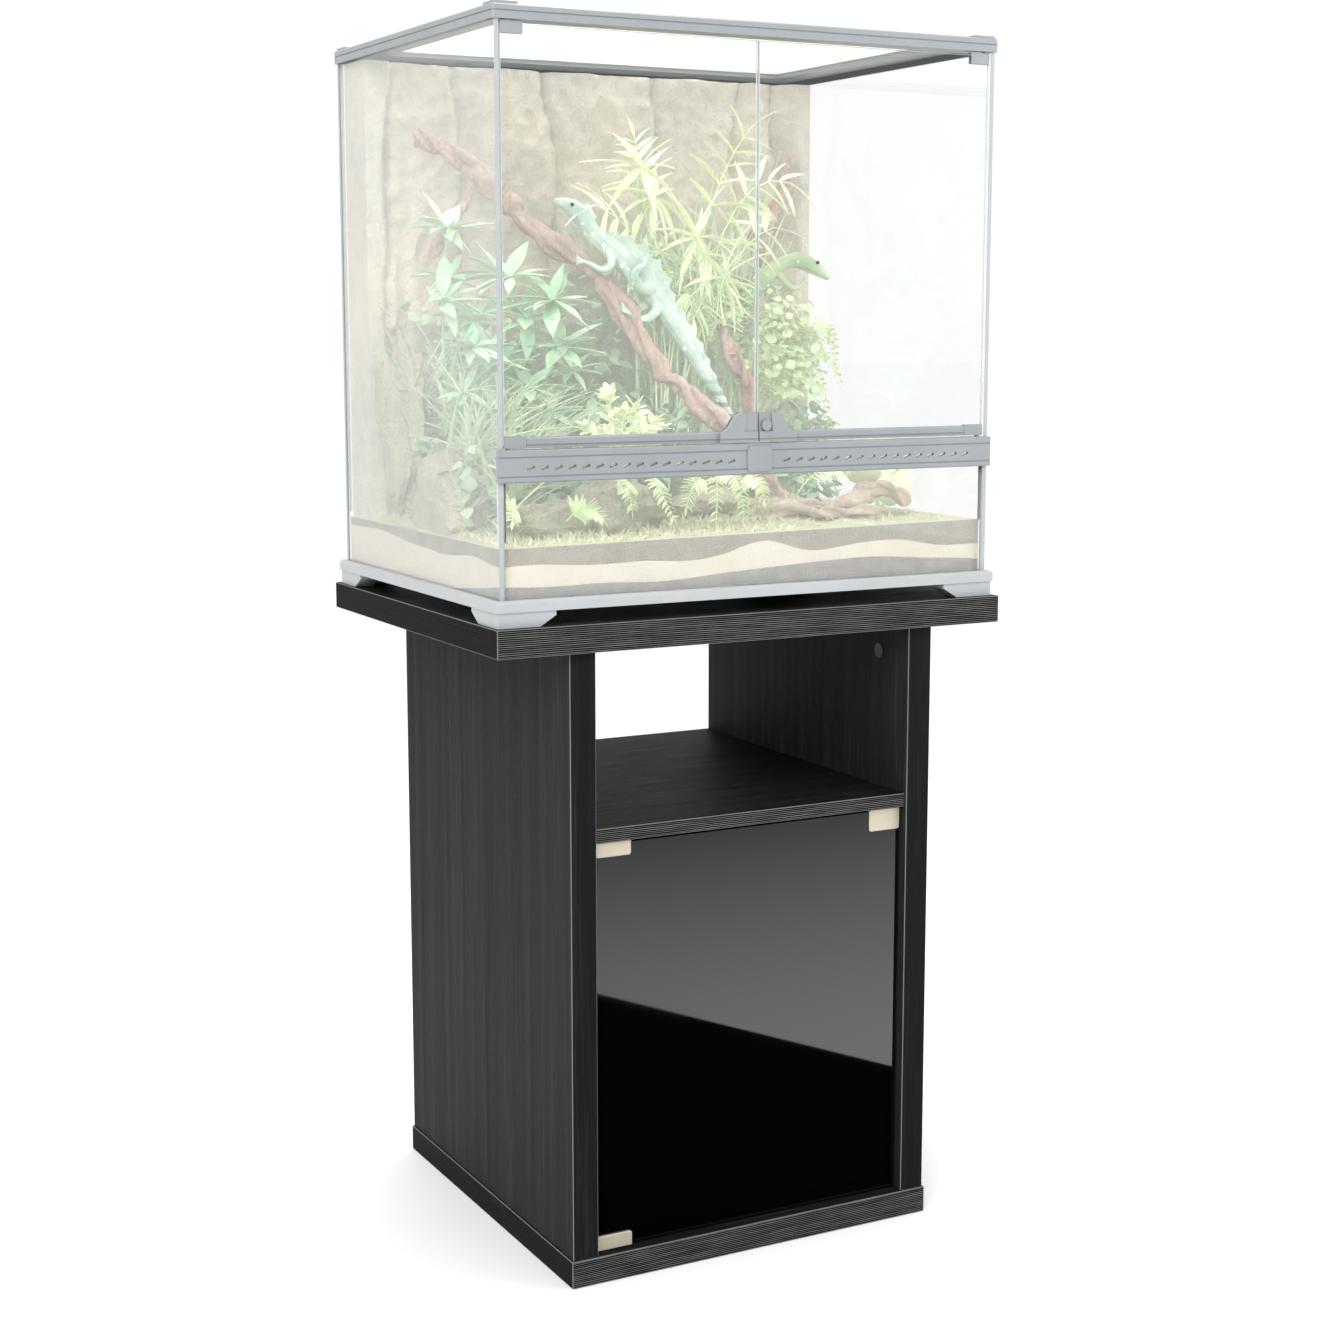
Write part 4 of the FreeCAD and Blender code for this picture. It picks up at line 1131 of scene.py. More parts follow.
@dataclass
class Ground:
    """Gravel, sand and soil in waves, one layer on the next."""

    half_x: float = 293.4
    half_y: float = 218.8
    cells: tuple[int, int] = (96, 72)
    floor: float = 744.3

    def bottom(self, x: float, y: float) -> float:
        """Height of the gravel's underside, the same everywhere."""
        return self.floor

    def sand_floor(self, x: float, y: float) -> float:
        """Height of the border of gravel and sand."""
        level = 764.0 + 6.0 * math.sin(x * 0.012 + 0.9 + y * 0.004) + 2.2 * noise.noise(Vector((x, y, 0.0))
                                                                                        * 0.012)
        return max(747.0, level - heap(x, y, -294.0, 60.0, 70.0, 240.0, 24.0))

    def sand_top(self, x: float, y: float) -> float:
        """Height of the border of sand and soil.

        Args:
            x: place across, in millimetres.
            y: place in depth, in millimetres.

        Returns:
            The height, in millimetres.
        """
        wave = heap(x, y, 10.0, -219.0, 42.0, 200.0, 15.0) + heap(x, y, 165.0, -219.0, 60.0, 200.0, 9.0)
        wave += heap(x, y, -294.0, 150.0, 60.0, 150.0, 14.0) + heap(x, y, -294.0, -150.0, 50.0, 60.0, 6.0)
        return max(self.sand_floor(x, y) + 5.0, 779.0 + wave + 3.0
                   * noise.noise(Vector((x, y, 40.0)) * 0.015))

    def top(self, x: float, y: float) -> float:
        """Height of the soil.

        Args:
            x: place across, in millimetres.
            y: place in depth, in millimetres.

        Returns:
            The height, in millimetres.
        """
        edge = min(self.half_x - abs(x), self.half_y - abs(y))
        rise = heap(x, y, -250.0, 60.0, 120.0, 130.0, 26.0) + heap(x, y, 60.0, 120.0, 160.0, 90.0, 24.0)
        rise += heap(x, y, 100.0, -80.0, 90.0, 50.0, 20.0)
        rough = 5.0 * noise.noise(Vector((x, y, 9.0)) * 0.02) + 2.0 * noise.noise(Vector((x, y, 2.0)) * 0.09)
        return 803.0 + x * 0.012 + (rise + rough) * min(1.0, max(edge, 0.0) / 40.0)

    def layer(self, name: str, low: Callable[[float, float], float],
              high: Callable[[float, float], float]) -> bpy.types.Object:
        """A slab between two wavy surfaces.

        Args:
            name: the piece's name.
            low: height of its underside.
            high: height of its top.

        Returns:
            The closed slab.
        """
        faces = []
        for height in (low, high):
            Bench.take()
            bpy.ops.mesh.primitive_grid_add(x_subdivisions=self.cells[0], y_subdivisions=self.cells[1],
                                            size=2.0)
            sheet = bpy.context.object
            sheet.scale = (self.half_x * MM, self.half_y * MM, 1.0)
            Bench.settle(sheet)
            for vertex in sheet.data.vertices:
                vertex.co.z = height(vertex.co.x / MM, vertex.co.y / MM) * MM
            faces.append(sheet)
        return Bench.bridge(faces, name)

    def build(self) -> None:
        """Lay the three beds."""
        settle_in(self.layer("gravel_layer", self.bottom, self.sand_floor), GRAVEL, "gravel", "gravel_bed")
        settle_in(self.layer("sand_layer", self.sand_floor, self.sand_top), SAND, "sand", "sand_bed")
        settle_in(self.layer("soil_layer", self.sand_top, self.top), SOIL, "soil", "soil_bed")


GROUND = Ground()


# ---- rock -----------------------------------------------------------------------------------------
@dataclass
class RockWork:
    """The moulded rock wall and the loose boulders."""

    half_x: float = 292.0
    low: float = 797.0
    high: float = 1319.5
    back: float = 214.0
    leftmost: float = -0.2895
    rearmost: float = 0.2
    cells: tuple[int, int] = (150, 132)
    boulders: tuple[tuple[Point, Point, int], ...] = (
        ((-262.0, -14.0, 826.0), (30.0, 84.0, 62.0), 3), ((-266.0, 110.0, 890.0), (26.0, 46.0, 120.0), 5),
        ((-205.0, -132.0, 812.0), (48.0, 30.0, 26.0), 7), ((-142.0, -128.0, 818.0), (44.0, 30.0, 32.0), 11),
        ((-92.0, -70.0, 822.0), (54.0, 40.0, 36.0), 13), ((30.0, -60.0, 816.0), (50.0, 40.0, 24.0), 17),
        ((60.0, 110.0, 840.0), (110.0, 46.0, 60.0), 19), ((-110.0, 90.0, 850.0), (90.0, 52.0, 80.0), 23),
    )

    def face(self, x: float, z: float) -> float:
        """Depth of the wall's front at a place.

        Args:
            x: place across, in millimetres.
            z: height, in millimetres.

        Returns:
            The depth, in millimetres.
        """
        ridges = noise.ridged_multi_fractal(Vector((x * 1.5, 7.0, z * 0.55)) * 0.009, 1.0, 2.1, 5, 1.0, 2.0)
        lumps = noise.hetero_terrain(Vector((x, 3.0, z)) * 0.02, 0.9, 2.0, 5, 0.6)
        crack = sum(math.exp(-((x + 22.0 * noise.noise(Vector((c, 0.0, z * 0.008))) - c) / 5.0) ** 2)
                    for c in (-262.0, -168.0, -52.0, 84.0, 196.0, 252.0))
        lumps += 1.6 * noise.ridged_multi_fractal(Vector((x, 1.0, z)) * 0.035, 1.0, 2.0, 4, 1.0, 2.0)
        side = 22.0 * (math.exp(-((x + 292.0) / 34.0) ** 2) + math.exp(-((x - 292.0) / 26.0) ** 2))
        return max(150.0, min(196.0, 184.0 - 10.0 * ridges - 3.0 * lumps + 11.0 * crack - side))

    def wall(self) -> bpy.types.Object:
        """The background: a relief in front of a flat back.

        Returns:
            The closed wall.
        """
        sheets = []
        for relief in (True, False):
            Bench.take()
            bpy.ops.mesh.primitive_grid_add(x_subdivisions=self.cells[0], y_subdivisions=self.cells[1],
                                            size=2.0,
                                            rotation=(math.pi / 2.0, 0.0, 0.0))
            sheet = bpy.context.object
            sheet.scale = (self.half_x * MM, (self.high - self.low) / 2.0 * MM, 1.0)
            sheet.location.z = (self.high + self.low) / 2.0 * MM
            Bench.settle(sheet)
            for vertex in sheet.data.vertices:
                x, z = vertex.co.x / MM, vertex.co.z / MM
                vertex.co.y = (self.face(x, z) if relief else self.back) * MM
            sheets.append(sheet)
        return Bench.bridge(sheets, "rock_wall")

    def boulder(self, place: Point, size: Point, seed: int) -> bpy.types.Object:
        """One weathered stone.

        Args:
            place: its middle, in millimetres.
            size: its half sizes.
            seed: which stone it is.

        Returns:
            The stone.
        """
        Bench.take()
        bpy.ops.mesh.primitive_ico_sphere_add(subdivisions=5, radius=1.0)
        stone = bpy.context.object
        shift = Vector((seed * 1.7, seed * 0.6, seed * 2.3))
        for vertex in stone.data.vertices:
            place_here = vertex.co.copy()
            bumps = noise.hetero_terrain(place_here * 1.3 + shift, 0.8, 2.0, 5, 0.7)
            chips = noise.ridged_multi_fractal(place_here * 4.5 + shift, 1.0, 2.0, 4, 1.0, 2.0)
            vertex.co = place_here * (0.76 + 0.17 * bumps - 0.05 * chips)
        stone.scale = [s * MM for s in size]
        stone.location = [p * MM for p in place]
        Bench.settle(stone)
        for vertex in stone.data.vertices:
            vertex.co.x = max(self.leftmost, vertex.co.x)
            vertex.co.y = min(self.rearmost, vertex.co.y)
        return stone

    def build(self) -> None:
        """Make the wall and the boulders."""
        settle_in(self.wall(), ROCK, "rock_foam", "rock_background")
        stones = Bench.join([self.boulder(*facts) for facts in self.boulders], "boulders")
        smooth(stones, 60.0)
        settle_in(stones, BOULDER, "rock_foam")


# ---- wood -----------------------------------------------------------------------------------------
@dataclass
class TwistedWood:
    """A gnarled vine: strands wound round one another and grown together."""

    name: str
    runs: tuple[tuple[Point, ...], ...]
    girth: tuple[float, ...]
    strands: int
    voxel: float
    finish: Finish
    nodes: tuple[str, ...]
    seed: int
    groove_depth: float = 0.0008
    knot_height: float = 0.0024

    def strand(self, run: Sequence[Point], girth: float, index: int) -> tuple[list[Point], list[float]]:
        """One strand that winds round the run's line.

        Args:
            run: the vine's own line, in millimetres.
            girth: the vine's radius.
            index: which strand it is.

        Returns:
            Its points and its radii.
        """
        luck = random.Random(self.seed * 31 + index)
        points, radii = [], []
        turn = index * 2.0 * math.pi / self.strands
        steps = 4
        for here, there in zip(run, run[1:]):
            for step in range(steps):
                share = step / steps
                middle = Vector(here).lerp(Vector(there), share)
                along = (Vector(there) - Vector(here)).normalized()
                first = along.orthogonal().normalized()
                turn += luck.uniform(0.1, 1.0)
                out = Matrix.Rotation(turn, 3, along) @ first
                end = min(len(points), (len(run) - 1) * steps - len(points)) / 6.0
                points.append(tuple(middle + out * girth * luck.uniform(0.45, 1.15)
                                    + Vector([luck.gauss(0.0, 0.9) for _ in range(3)])))
                radii.append(girth * luck.uniform(0.26, 0.58) * min(1.0, 0.55 + 0.3 * end))
        points.append(tuple(run[-1]))
        radii.append(girth * 0.3)
        return points, radii

    def build(self) -> bpy.types.Object:
        """Wind the strands, fuse them and weather them.

        Returns:
            The finished wood.
        """
        lines = []
        for run, girth in zip(self.runs, self.girth):
            lines += [self.strand(run, girth, index) for index in range(self.strands)]
            core = [tuple(Vector(p)) for p in run]
            lines.append((core, [girth * 0.42] * len(core)))
        wood = Bench.limbs(lines, 2, 4)
        modifier(wood, "REMESH", mode="VOXEL", voxel_size=self.voxel * MM)
        Bench.settle(wood)
        places = [(vertex.co.copy(), vertex.normal.copy()) for vertex in wood.data.vertices]
        for vertex, (place, out) in zip(wood.data.vertices, places):
            groove = noise.ridged_multi_fractal(Vector((place.x, place.y, place.z * 0.4)) * 90.0, 1.0, 2.0, 3,
                                                1.0, 2.0)
            knot = noise.noise(place * 55.0)
            vertex.co = place + out * (self.groove_depth * (1.2 - groove) + self.knot_height * knot)
        modifier(wood, "SMOOTH", factor=0.4, iterations=1)
        Bench.settle(wood)
        wood.name = wood.data.name = self.name
        smooth(wood, 70.0)
        return settle_in(wood, self.finish, "branch_wood", *self.nodes)


# ---- plants ---------------------------------------------------------------------------------------
def on_the_bank(place: Vector) -> bool:
    """Whether a place lies on the bank at the foot of the wall."""
    return place.z < 1060.0 - 0.35 * abs(place.x + 200.0) and place.y > 20.0 + (place.z - 806.0) * 0.4


def in_the_bush(place: Vector) -> bool:
    """Whether a place lies in the round bush at the right."""
    return ((place.x - 236.0) / 44.0) ** 2 + ((place.z - 840.0) / 86.0) ** 2 < 1.0


@dataclass
class Planting:
    """All the plants of the tank."""

    def build(self) -> None:
        """Grow them one after another."""
        self.palm()
        self.reeds()
        self.broad_leaves()
        self.ground_ivy()
        self.grass()
        self.maidenhair()
        self.staghorn()
        self.low_ferns()
        self.pads()
        self.moss()

    def palm(self) -> None:
        """A parlour palm with arching yellow-green fronds."""
        plant = Growth("parlour_palm", PALM_LEAF, "bamboo_leaf", 5, ("bamboo_plant",))
        slim = Blade(64.0, 11.5, (0.3, 0.85, 1.0, 0.85, 0.55, 0.25, 0.03), 18.0, 1.3).build()
        lance = Blade(50.0, 13.0, (0.15, 0.7, 1.0, 0.95, 0.6, 0.03), 12.0, 1.4).build()
        left_foot, right_foot = (50.0, 100.0, 806.0), (90.0, 110.0, 806.0)
        left_fronds = (
            ((40.0, 80.0, 1110.0), (-2.0, 58.0, 1240.0), 7, 0.78, 58.0, (1.0, 0.45), 0.0),
            ((90.0, 90.0, 1120.0), (-58.0, 45.0, 1160.0), 8, 0.5, 62.0, (1.15, 0.8), 0.45),
            ((60.0, 80.0, 1180.0), (100.0, 50.0, 1090.0), 8, 0.5, 60.0, (1.1, 0.8), 0.5),
            ((70.0, 80.0, 1150.0), (70.0, 45.0, 1030.0), 6, 0.6, 60.0, (0.9, 0.6), 0.5),
            ((100.0, 90.0, 1060.0), (122.0, 50.0, 1075.0), 6, 0.62, 60.0, (0.85, 0.6), 0.3),
        )
        for bend, tip, *facts in left_fronds:
            plant.frond(Arc(left_foot, bend, tip), slim, *facts)
        for centre, axis, count in (((22.0, 56.0, 1172.0), (0.2, -0.9, 0.2), 11),
                                    ((78.0, 54.0, 1126.0), (0.4, -0.9, 0.0), 10),
                                    ((112.0, 50.0, 1080.0), (0.4, -0.9, -0.2), 8),
                                    ((8.0, 58.0, 1205.0), (0.0, -0.8, 0.6), 6)):
            plant.whorl(Vector(centre), Vector(axis), slim, count, -0.1, 1.05)
        right_fronds = (
            ((70.0, 90.0, 1150.0), (150.0, 52.0, 1255.0), 5, 0.68, 50.0, (1.0, 0.7), 0.1),
            ((100.0, 90.0, 1230.0), (205.0, 50.0, 1192.0), 7, 0.5, 52.0, (1.05, 0.85), 0.25),
            ((110.0, 90.0, 1120.0), (188.0, 60.0, 1140.0), 6, 0.55, 55.0, (1.0, 0.8), 0.35),
        )
        for bend, tip, *facts in right_fronds:
            plant.frond(Arc(right_foot, bend, tip), lance, *facts)
        plant.gather(slim, lance)

    def reeds(self) -> None:
        """Dark upright blades and canes behind the palm."""
        plant = Growth("tall_reeds", REED_LEAF, "bamboo_leaf", 8)
        reed = Blade(250.0, 6.5, (0.5, 0.9, 1.0, 0.9, 0.6, 0.3, 0.04), 26.0, 1.0).build()
        for _ in range(70):
            foot = Vector((plant.luck.uniform(20.0, 190.0), plant.luck.uniform(95.0, 140.0),
                           plant.luck.uniform(850.0, 1040.0)))
            along = Vector((plant.luck.uniform(-0.4, 0.4), plant.luck.uniform(-0.25, 0.1), 1.0))
            plant.leaf(reed, foot, along, plant.luck.uniform(-1.5, 1.5), plant.luck.uniform(0.6, 1.05))
        for _ in range(16):
            x, y = plant.luck.uniform(30.0, 150.0), plant.luck.uniform(60.0, 120.0)
            plant.stem(Arc((x, y, 806.0), (x + plant.luck.uniform(-12.0, 12.0), y, 950.0),
                           (x + plant.luck.uniform(-20.0, 20.0), y, plant.luck.uniform(1060.0, 1180.0))), 1.8,
                       0.8)
        for _ in range(60):
            foot = Vector((plant.luck.uniform(30.0, 110.0), plant.luck.uniform(45.0, 90.0),
                           plant.luck.uniform(1000.0, 1100.0)))
            plant.leaf(reed, foot, Vector((plant.luck.uniform(-1.0, 0.7), -0.2,
                                           plant.luck.uniform(0.2, 1.0))),
                       plant.luck.uniform(-1.0, 1.0), plant.luck.uniform(0.25, 0.45))
        plant.gather(reed)

    def broad_leaves(self) -> None:
        """An umbrella plant with whorls of pointed leaves."""
        plant = Growth("umbrella_plant", BROAD_LEAF, "broad_leaf", 21, ("broad_leaf_plant",))
        blade = Blade(55.0, 18.0, (0.12, 0.6, 0.95, 1.0, 0.75, 0.4, 0.03), 10.0, 2.2, 0.6).build()
        foot = Vector((-200.0, 62.0, 815.0))
        crowns = ((-249, 22, 1128, 7, 0.9), (-131, 8, 1050, 6, 1.0), (-179, 26, 1080, 7, 0.9),
                  (-216, 18, 1030, 7, 1.0),
                  (-158, 16, 1030, 6, 0.95), (-204, 0, 985, 7, 0.9), (-128, 0, 1000, 7, 0.85),
                  (-258, 10, 1052, 6, 0.9),
                  (-240, -20, 1000, 6, 0.8), (-100, 22, 975, 6, 0.7), (-168, -8, 955, 7, 0.8),
                  (-250, -28, 950, 6, 0.7),
                  (-212, -30, 930, 6, 0.75), (-140, 0, 925, 6, 0.7), (-230, 60, 1075, 6, 0.8),
                  (-190, 60, 1000, 6, 0.8))
        for x, y, z, count, size in crowns:
            crown = Vector((x, y, z))
            plant.stem(Arc(tuple(foot + plant.jitter(14.0)), (x * 0.7 - 60.0, 60.0, z - 70.0), tuple(crown)),
                       1.8, 0.9)
            for lean in (Vector((0.1, -0.75, 0.65)), Vector((-0.2, -0.3, 0.9))):
                plant.whorl(crown + plant.jitter(4.0), lean + plant.jitter(0.25), blade, count, 0.3, size)
        plant.gather(blade)

    def ground_ivy(self) -> None:
        """Small dark leaves over the rocks and the foot of the wall."""
        plant = Growth("ground_ivy", IVY_LEAF, "broad_leaf", 33)
        heart = Blade(17.0, 14.0, (0.35, 1.0, 0.95, 0.6, 0.04), 3.0, 1.0, 0.5).build()
        face = Vector((-0.1, -0.7, 0.35))
        plant.thicket(heart, (-285.0, 10.0, 812.0), (60.0, 160.0, 1060.0), 1500, face, keep=on_the_bank)
        plant.thicket(heart, (-120.0, -20.0, 812.0), (60.0, 40.0, 930.0), 330, face)
        plant.thicket(heart, (-70.0, 110.0, 860.0), (150.0, 158.0, 1110.0), 300, face)
        plant.thicket(heart, (-286.0, -110.0, 812.0), (-170.0, 60.0, 900.0), 420, face)
        plant.thicket(heart, (190.0, 40.0, 812.0), (280.0, 130.0, 926.0), 520, face, (0.7, 1.15), in_the_bush)
        plant.gather(heart)

    def grass(self) -> None:
        """Strap grass arching over the left-hand boulder."""
        plant = Growth("strap_grass", GRASS_LEAF, "broad_leaf", 41, ("grass_plant",))
        strap = Blade(120.0, 4.6, (0.6, 1.0, 0.95, 0.8, 0.55, 0.3, 0.04), 34.0, 0.7, 0.4).build()
        for x, y, z, count in ((-250, -55, 880, 90), (-240, -100, 840, 60), (-250, 20, 910, 70),
                               (-210, -60, 850, 60),
                               (-262, -150, 812, 22), (-200, -20, 870, 50), (-262, -20, 860, 40),
                               (-258, 80, 930, 40)):
            for _ in range(count):
                along = Vector((plant.luck.uniform(-1.0, 1.0), plant.luck.uniform(-1.0, 0.7),
                                plant.luck.uniform(0.1, 1.6)))
                plant.leaf(strap, Vector((x, y, z)) + plant.jitter(12.0), along,
                           plant.luck.uniform(-0.4, 0.4),
                           plant.luck.uniform(0.5, 1.1))
        plant.gather(strap)

    def maidenhair(self) -> None:
        """Thin arching stems with small fan leaflets, and a trailing sprig."""
        plant = Growth("maidenhair_fern", MAIDEN_LEAF, "fern_leaf", 52, ("vine_plant",))
        fan = Blade(10.5, 11.5, (0.15, 0.65, 1.0, 0.85, 0.3), 2.0, 0.6, 0.4).build()
        root = (175.0, 105.0, 880.0)
        tips = ((112, 80, 1030), (145, 78, 1036), (176, 74, 1052), (212, 72, 1050), (236, 74, 1030),
                (212, 62, 990),
                (240, 66, 985), (212, 60, 950), (190, 62, 975), (262, 70, 1000), (150, 62, 985),
                (232, 60, 1010))
        for x, y, z in tips:
            for _ in range(4):
                tip = Vector((x, y, z)) + plant.jitter(16.0)
                bend = Vector((x, y + 10.0, z + 34.0)).lerp(Vector(root), 0.25)
                plant.frond(Arc(root, tuple(bend), tuple(tip)), fan, 8, 0.5, 70.0, (1.0, 0.65), 0.25, 0.5)
        for path in (((250, 70, 1030), (285, 70, 1035), (278, 60, 975)),
                     ((230, 66, 1010), (276, 66, 1000), (284, 60, 950)),
                     ((240, 70, 960), (270, 66, 975), (262, 56, 905)),
                     ((200, 60, 1040), (180, 50, 1060), (160, 50, 1010)),
                     ((236, 62, 1020), (262, 52, 1030), (268, 50, 985)),
                     ((150, 66, 1040), (120, 60, 1050), (100, 60, 1010))):
            plant.frond(Arc(*path), fan, 11, 0.05, 75.0, (0.8, 0.5), 0.3, 0.5)
        for x, z, wide, count in ((210, 1030, 16, 70), (228, 1000, 15, 60), (208, 975, 14, 50),
                                  (238, 958, 12, 30), (182, 1008, 14, 40)):
            for _ in range(count):
                place = Vector((plant.luck.gauss(x, wide), plant.luck.uniform(52.0, 78.0),
                                plant.luck.gauss(z, wide)))
                plant.leaf(fan, place, Vector((0.1, -0.7, -0.5)) + plant.jitter(0.8),
                           plant.luck.uniform(-0.8, 0.8),
                           plant.luck.uniform(0.7, 1.25))
        plant.gather(fan)

    def staghorn(self) -> None:
        """A pale fern with lobed, antler-like fronds."""
        plant = Growth("staghorn_fern", STAG_LEAF, "fern_leaf", 61, ("fern_plant",))
        lobe = Blade(27.0, 17.0, (0.75, 0.85, 1.0, 0.95, 0.7, 0.3), 3.0, 1.0, 0.8).build()
        root = Vector((-108.0, -112.0, 860.0))
        for x, y, z in ((-150, -116, 915), (-128, -120, 944), (-108, -122, 928), (-92, -120, 934),
                        (-62, -116, 912),
                        (-76, -128, 920), (-134, -130, 908), (-110, -90, 948), (-120, -110, 900),
                        (-84, -112, 905)):
            tip = Vector((x, y, z))
            arc = Arc(tuple(root), tuple(root.lerp(tip, 0.5) + Vector((0.0, 0.0, 12.0))), tuple(tip))
            plant.frond(arc, lobe, 5, 0.3, 48.0, (0.75, 0.6), 0.1, 2.4)
            plant.whorl(tip, tip - root, lobe, 4, 0.9, 0.6)
        plant.stem(Arc((-108.0, -112.0, 806.0), (-106.0, -110.0, 840.0), tuple(root)), 4.0, 3.0)
        plant.gather(lobe)

    def low_ferns(self) -> None:
        """Small ferns that hang in front of the boulders."""
        plant = Growth("low_ferns", FERN_LEAF, "fern_leaf", 73)
        pinna = Blade(15.0, 5.5, (0.5, 1.0, 0.85, 0.5, 0.05), 2.0, 0.5, 0.4).build()
        for path in (((-60, -110, 850), (-95, -150, 880), (-60, -152, 812)),
                     ((10, -100, 850), (-4, -150, 890), (-10, -152, 806)),
                     ((12, -100, 850), (24, -150, 880), (26, -150, 816)),
                     ((8, -100, 848), (-30, -140, 870), (-44, -146, 826)),
                     ((-100, -110, 850), (-120, -150, 872), (-112, -150, 826)),
                     ((-238, -120, 812), (-250, -150, 850), (-262, -170, 822)),
                     ((-195, -150, 812), (-180, -170, 850), (-160, -180, 820)),
                     ((40, -90, 840), (60, -130, 870), (58, -140, 830)),
                     ((150, -60, 830), (170, -90, 880), (186, -110, 850)),
                     ((-20, -60, 840), (-30, -90, 900), (-20, -120, 880))):
            plant.frond(Arc(*path), pinna, 14, 0.25, 68.0, (1.25, 0.6), 0.1, 0.9)
        plant.gather(pinna)

    def pads(self) -> None:
        """Thick round pads on short stalks."""
        plant = Growth("round_pads", PAD_LEAF, "fern_leaf", 87, ("pad_plant",))
        pad = Blade(44.0, 36.0, (0.35, 0.8, 1.0, 0.98, 0.78, 0.4), 2.0, 0.0, 4.0).build()
        modifier(pad, "SUBSURF", levels=2, render_levels=2)
        Bench.settle(pad)
        root = Vector((248.0, -80.0, 812.0))
        for place, along, roll, size in (((250, -92, 815), (0.35, -0.3, 1.0), 1.2, 1.25),
                                         ((236, -96, 845), (-0.9, -0.35, 0.35), 0.5, 1.2),
                                         ((258, -80, 850), (0.3, -0.5, 0.6), 0.7, 0.9),
                                         ((240, -70, 868), (-0.5, -0.4, 0.7), 0.6, 0.9),
                                         ((262, -60, 872), (0.2, -0.3, 0.8), 0.8, 0.8)):
            start = Vector(place)
            plant.stem(Arc(tuple(root), tuple(root.lerp(start, 0.5) + Vector((4.0, 4.0, 0.0))), tuple(start)),
                       2.6, 2.0)
            plant.leaf(pad, start, Vector(along), roll, size)
        plant.gather(pad)

    def moss(self) -> None:
        """Short tufts of moss over the soil and the stones."""
        plant = Growth("moss", MOSS_LEAF, "fern_leaf", 99)
        tuft = Blade(9.0, 2.2, (0.8, 1.0, 0.6, 0.05), 2.0, 0.0, 0.5).build()
        spots = [(plant.luck.uniform(-285.0, 60.0), plant.luck.uniform(-208.0, -90.0)) for _ in range(1500)]
        spots += [(plant.luck.gauss(105.0, 44.0), plant.luck.gauss(-90.0, 24.0)) for _ in range(1300)]
        spots += [(plant.luck.uniform(-285.0, 285.0), plant.luck.uniform(-208.0, 120.0)) for _ in range(900)]
        for x, y in spots:
            foot = Vector((x, y, GROUND.top(x, y) - 1.0))
            plant.leaf(tuft, foot, Vector((0.0, 0.0, 0.8)) + plant.jitter(0.9), plant.luck.uniform(-3.0, 3.0),
                       plant.luck.uniform(0.5, 1.15))
        plant.gather(tuft)


# ---- lizards --------------------------------------------------------------------------------------
@dataclass
class Lizard:
    """A crested lizard lying along the wood."""

    name: str
    finish: Finish
    spine: tuple[tuple[float, float, float, float], ...]
    legs: tuple[tuple[tuple[float, float, float, float], ...], ...]
    fin: tuple[float, ...]
    eye: Point

    def body(self) -> bpy.types.Object:
        """Trunk, head, tail and legs, grown together.

        Returns:
            The body.
        """
        lines = [([p[:3] for p in line], [p[3] for p in line]) for line in (self.spine, *self.legs)]
        for leg in self.legs:
            foot, ankle = Vector(leg[-1][:3]), Vector(leg[-2][:3])
            ahead = (foot - ankle).normalized()
            for spread in (-0.7, -0.25, 0.2, 0.65):
                toe = foot + (ahead + Vector((0.0, -0.25, spread))) * 9.0
                lines.append(((tuple(ankle), tuple(foot), tuple(toe)), (1.4, 1.5, 0.9)))
        trunk = Bench.limbs(lines, 3, 6)
        modifier(trunk, "REMESH", mode="VOXEL", voxel_size=1.05 * MM)
        modifier(trunk, "SMOOTH", factor=0.5, iterations=3)
        Bench.settle(trunk)
        return trunk

    def sail(self) -> bpy.types.Object | None:
        """The scalloped fin along the back.

        Returns:
            The fin, or nothing for an animal without one.
        """
        if not self.fin:
            return None
        steps = 120
        Bench.take()
        bpy.ops.mesh.primitive_grid_add(x_subdivisions=steps, y_subdivisions=2, size=1.0)
        sail = bpy.context.object
        knots = [Vector(p[:3]) for p in self.spine]
        radii = [p[3] for p in self.spine]
        for vertex in sail.data.vertices:
            share = (vertex.co.x + 0.5) * (len(self.fin) - 1)
            row = vertex.co.y + 0.5
            index = min(int(share), len(self.fin) - 2)
            part = share - index
            here = knots[index].lerp(knots[index + 1], part)
            thick = radii[index] + (radii[index + 1] - radii[index]) * part
            rise = self.fin[index] + (self.fin[index + 1] - self.fin[index]) * part
            ahead = (knots[index + 1] - knots[index]).normalized()
            up = ahead.cross(Vector((0.15, -1.0, 0.35))).normalized()
            up = -up if up.z < 0.0 else up
            scallop = 1.0 - 0.34 * abs(math.sin(share * 4.6)) if row > 0.9 else 1.0
            ripple = Vector((0.0, 0.9 * math.sin(share * 9.2) * row, 0.0))
            vertex.co = (here + up * (thick * 0.6 + row * rise * scallop) + ahead * row * rise * 0.3
                         + ripple) * MM
        modifier(sail, "SOLIDIFY", thickness=0.9 * MM, offset=0.0)
        Bench.settle(sail)
        return sail

    def eyeball(self) -> bpy.types.Object:
        """The small domed eye that shows.

        Returns:
            The eye.
        """
        Bench.take()
        bpy.ops.mesh.primitive_uv_sphere_add(segments=16, ring_count=8, radius=2.2 * MM,
                                             location=[v * MM for v in self.eye])
        eye = bpy.context.object
        modifier(eye, "DISPLACE", strength=0.1 * MM)
        Bench.settle(eye)
        return eye

    def build(self) -> None:
        """Make the animal and set it on its perch."""
        parts = [part for part in (self.body(), self.sail()) if part]
        animal = Bench.join(parts, self.name)
        smooth(animal, 60.0)
        settle_in(animal, self.finish, "bamboo_leaf")
        settle_in(Bench.join([self.eyeball()], self.name + "_eye"), EYE, "black_plastic")


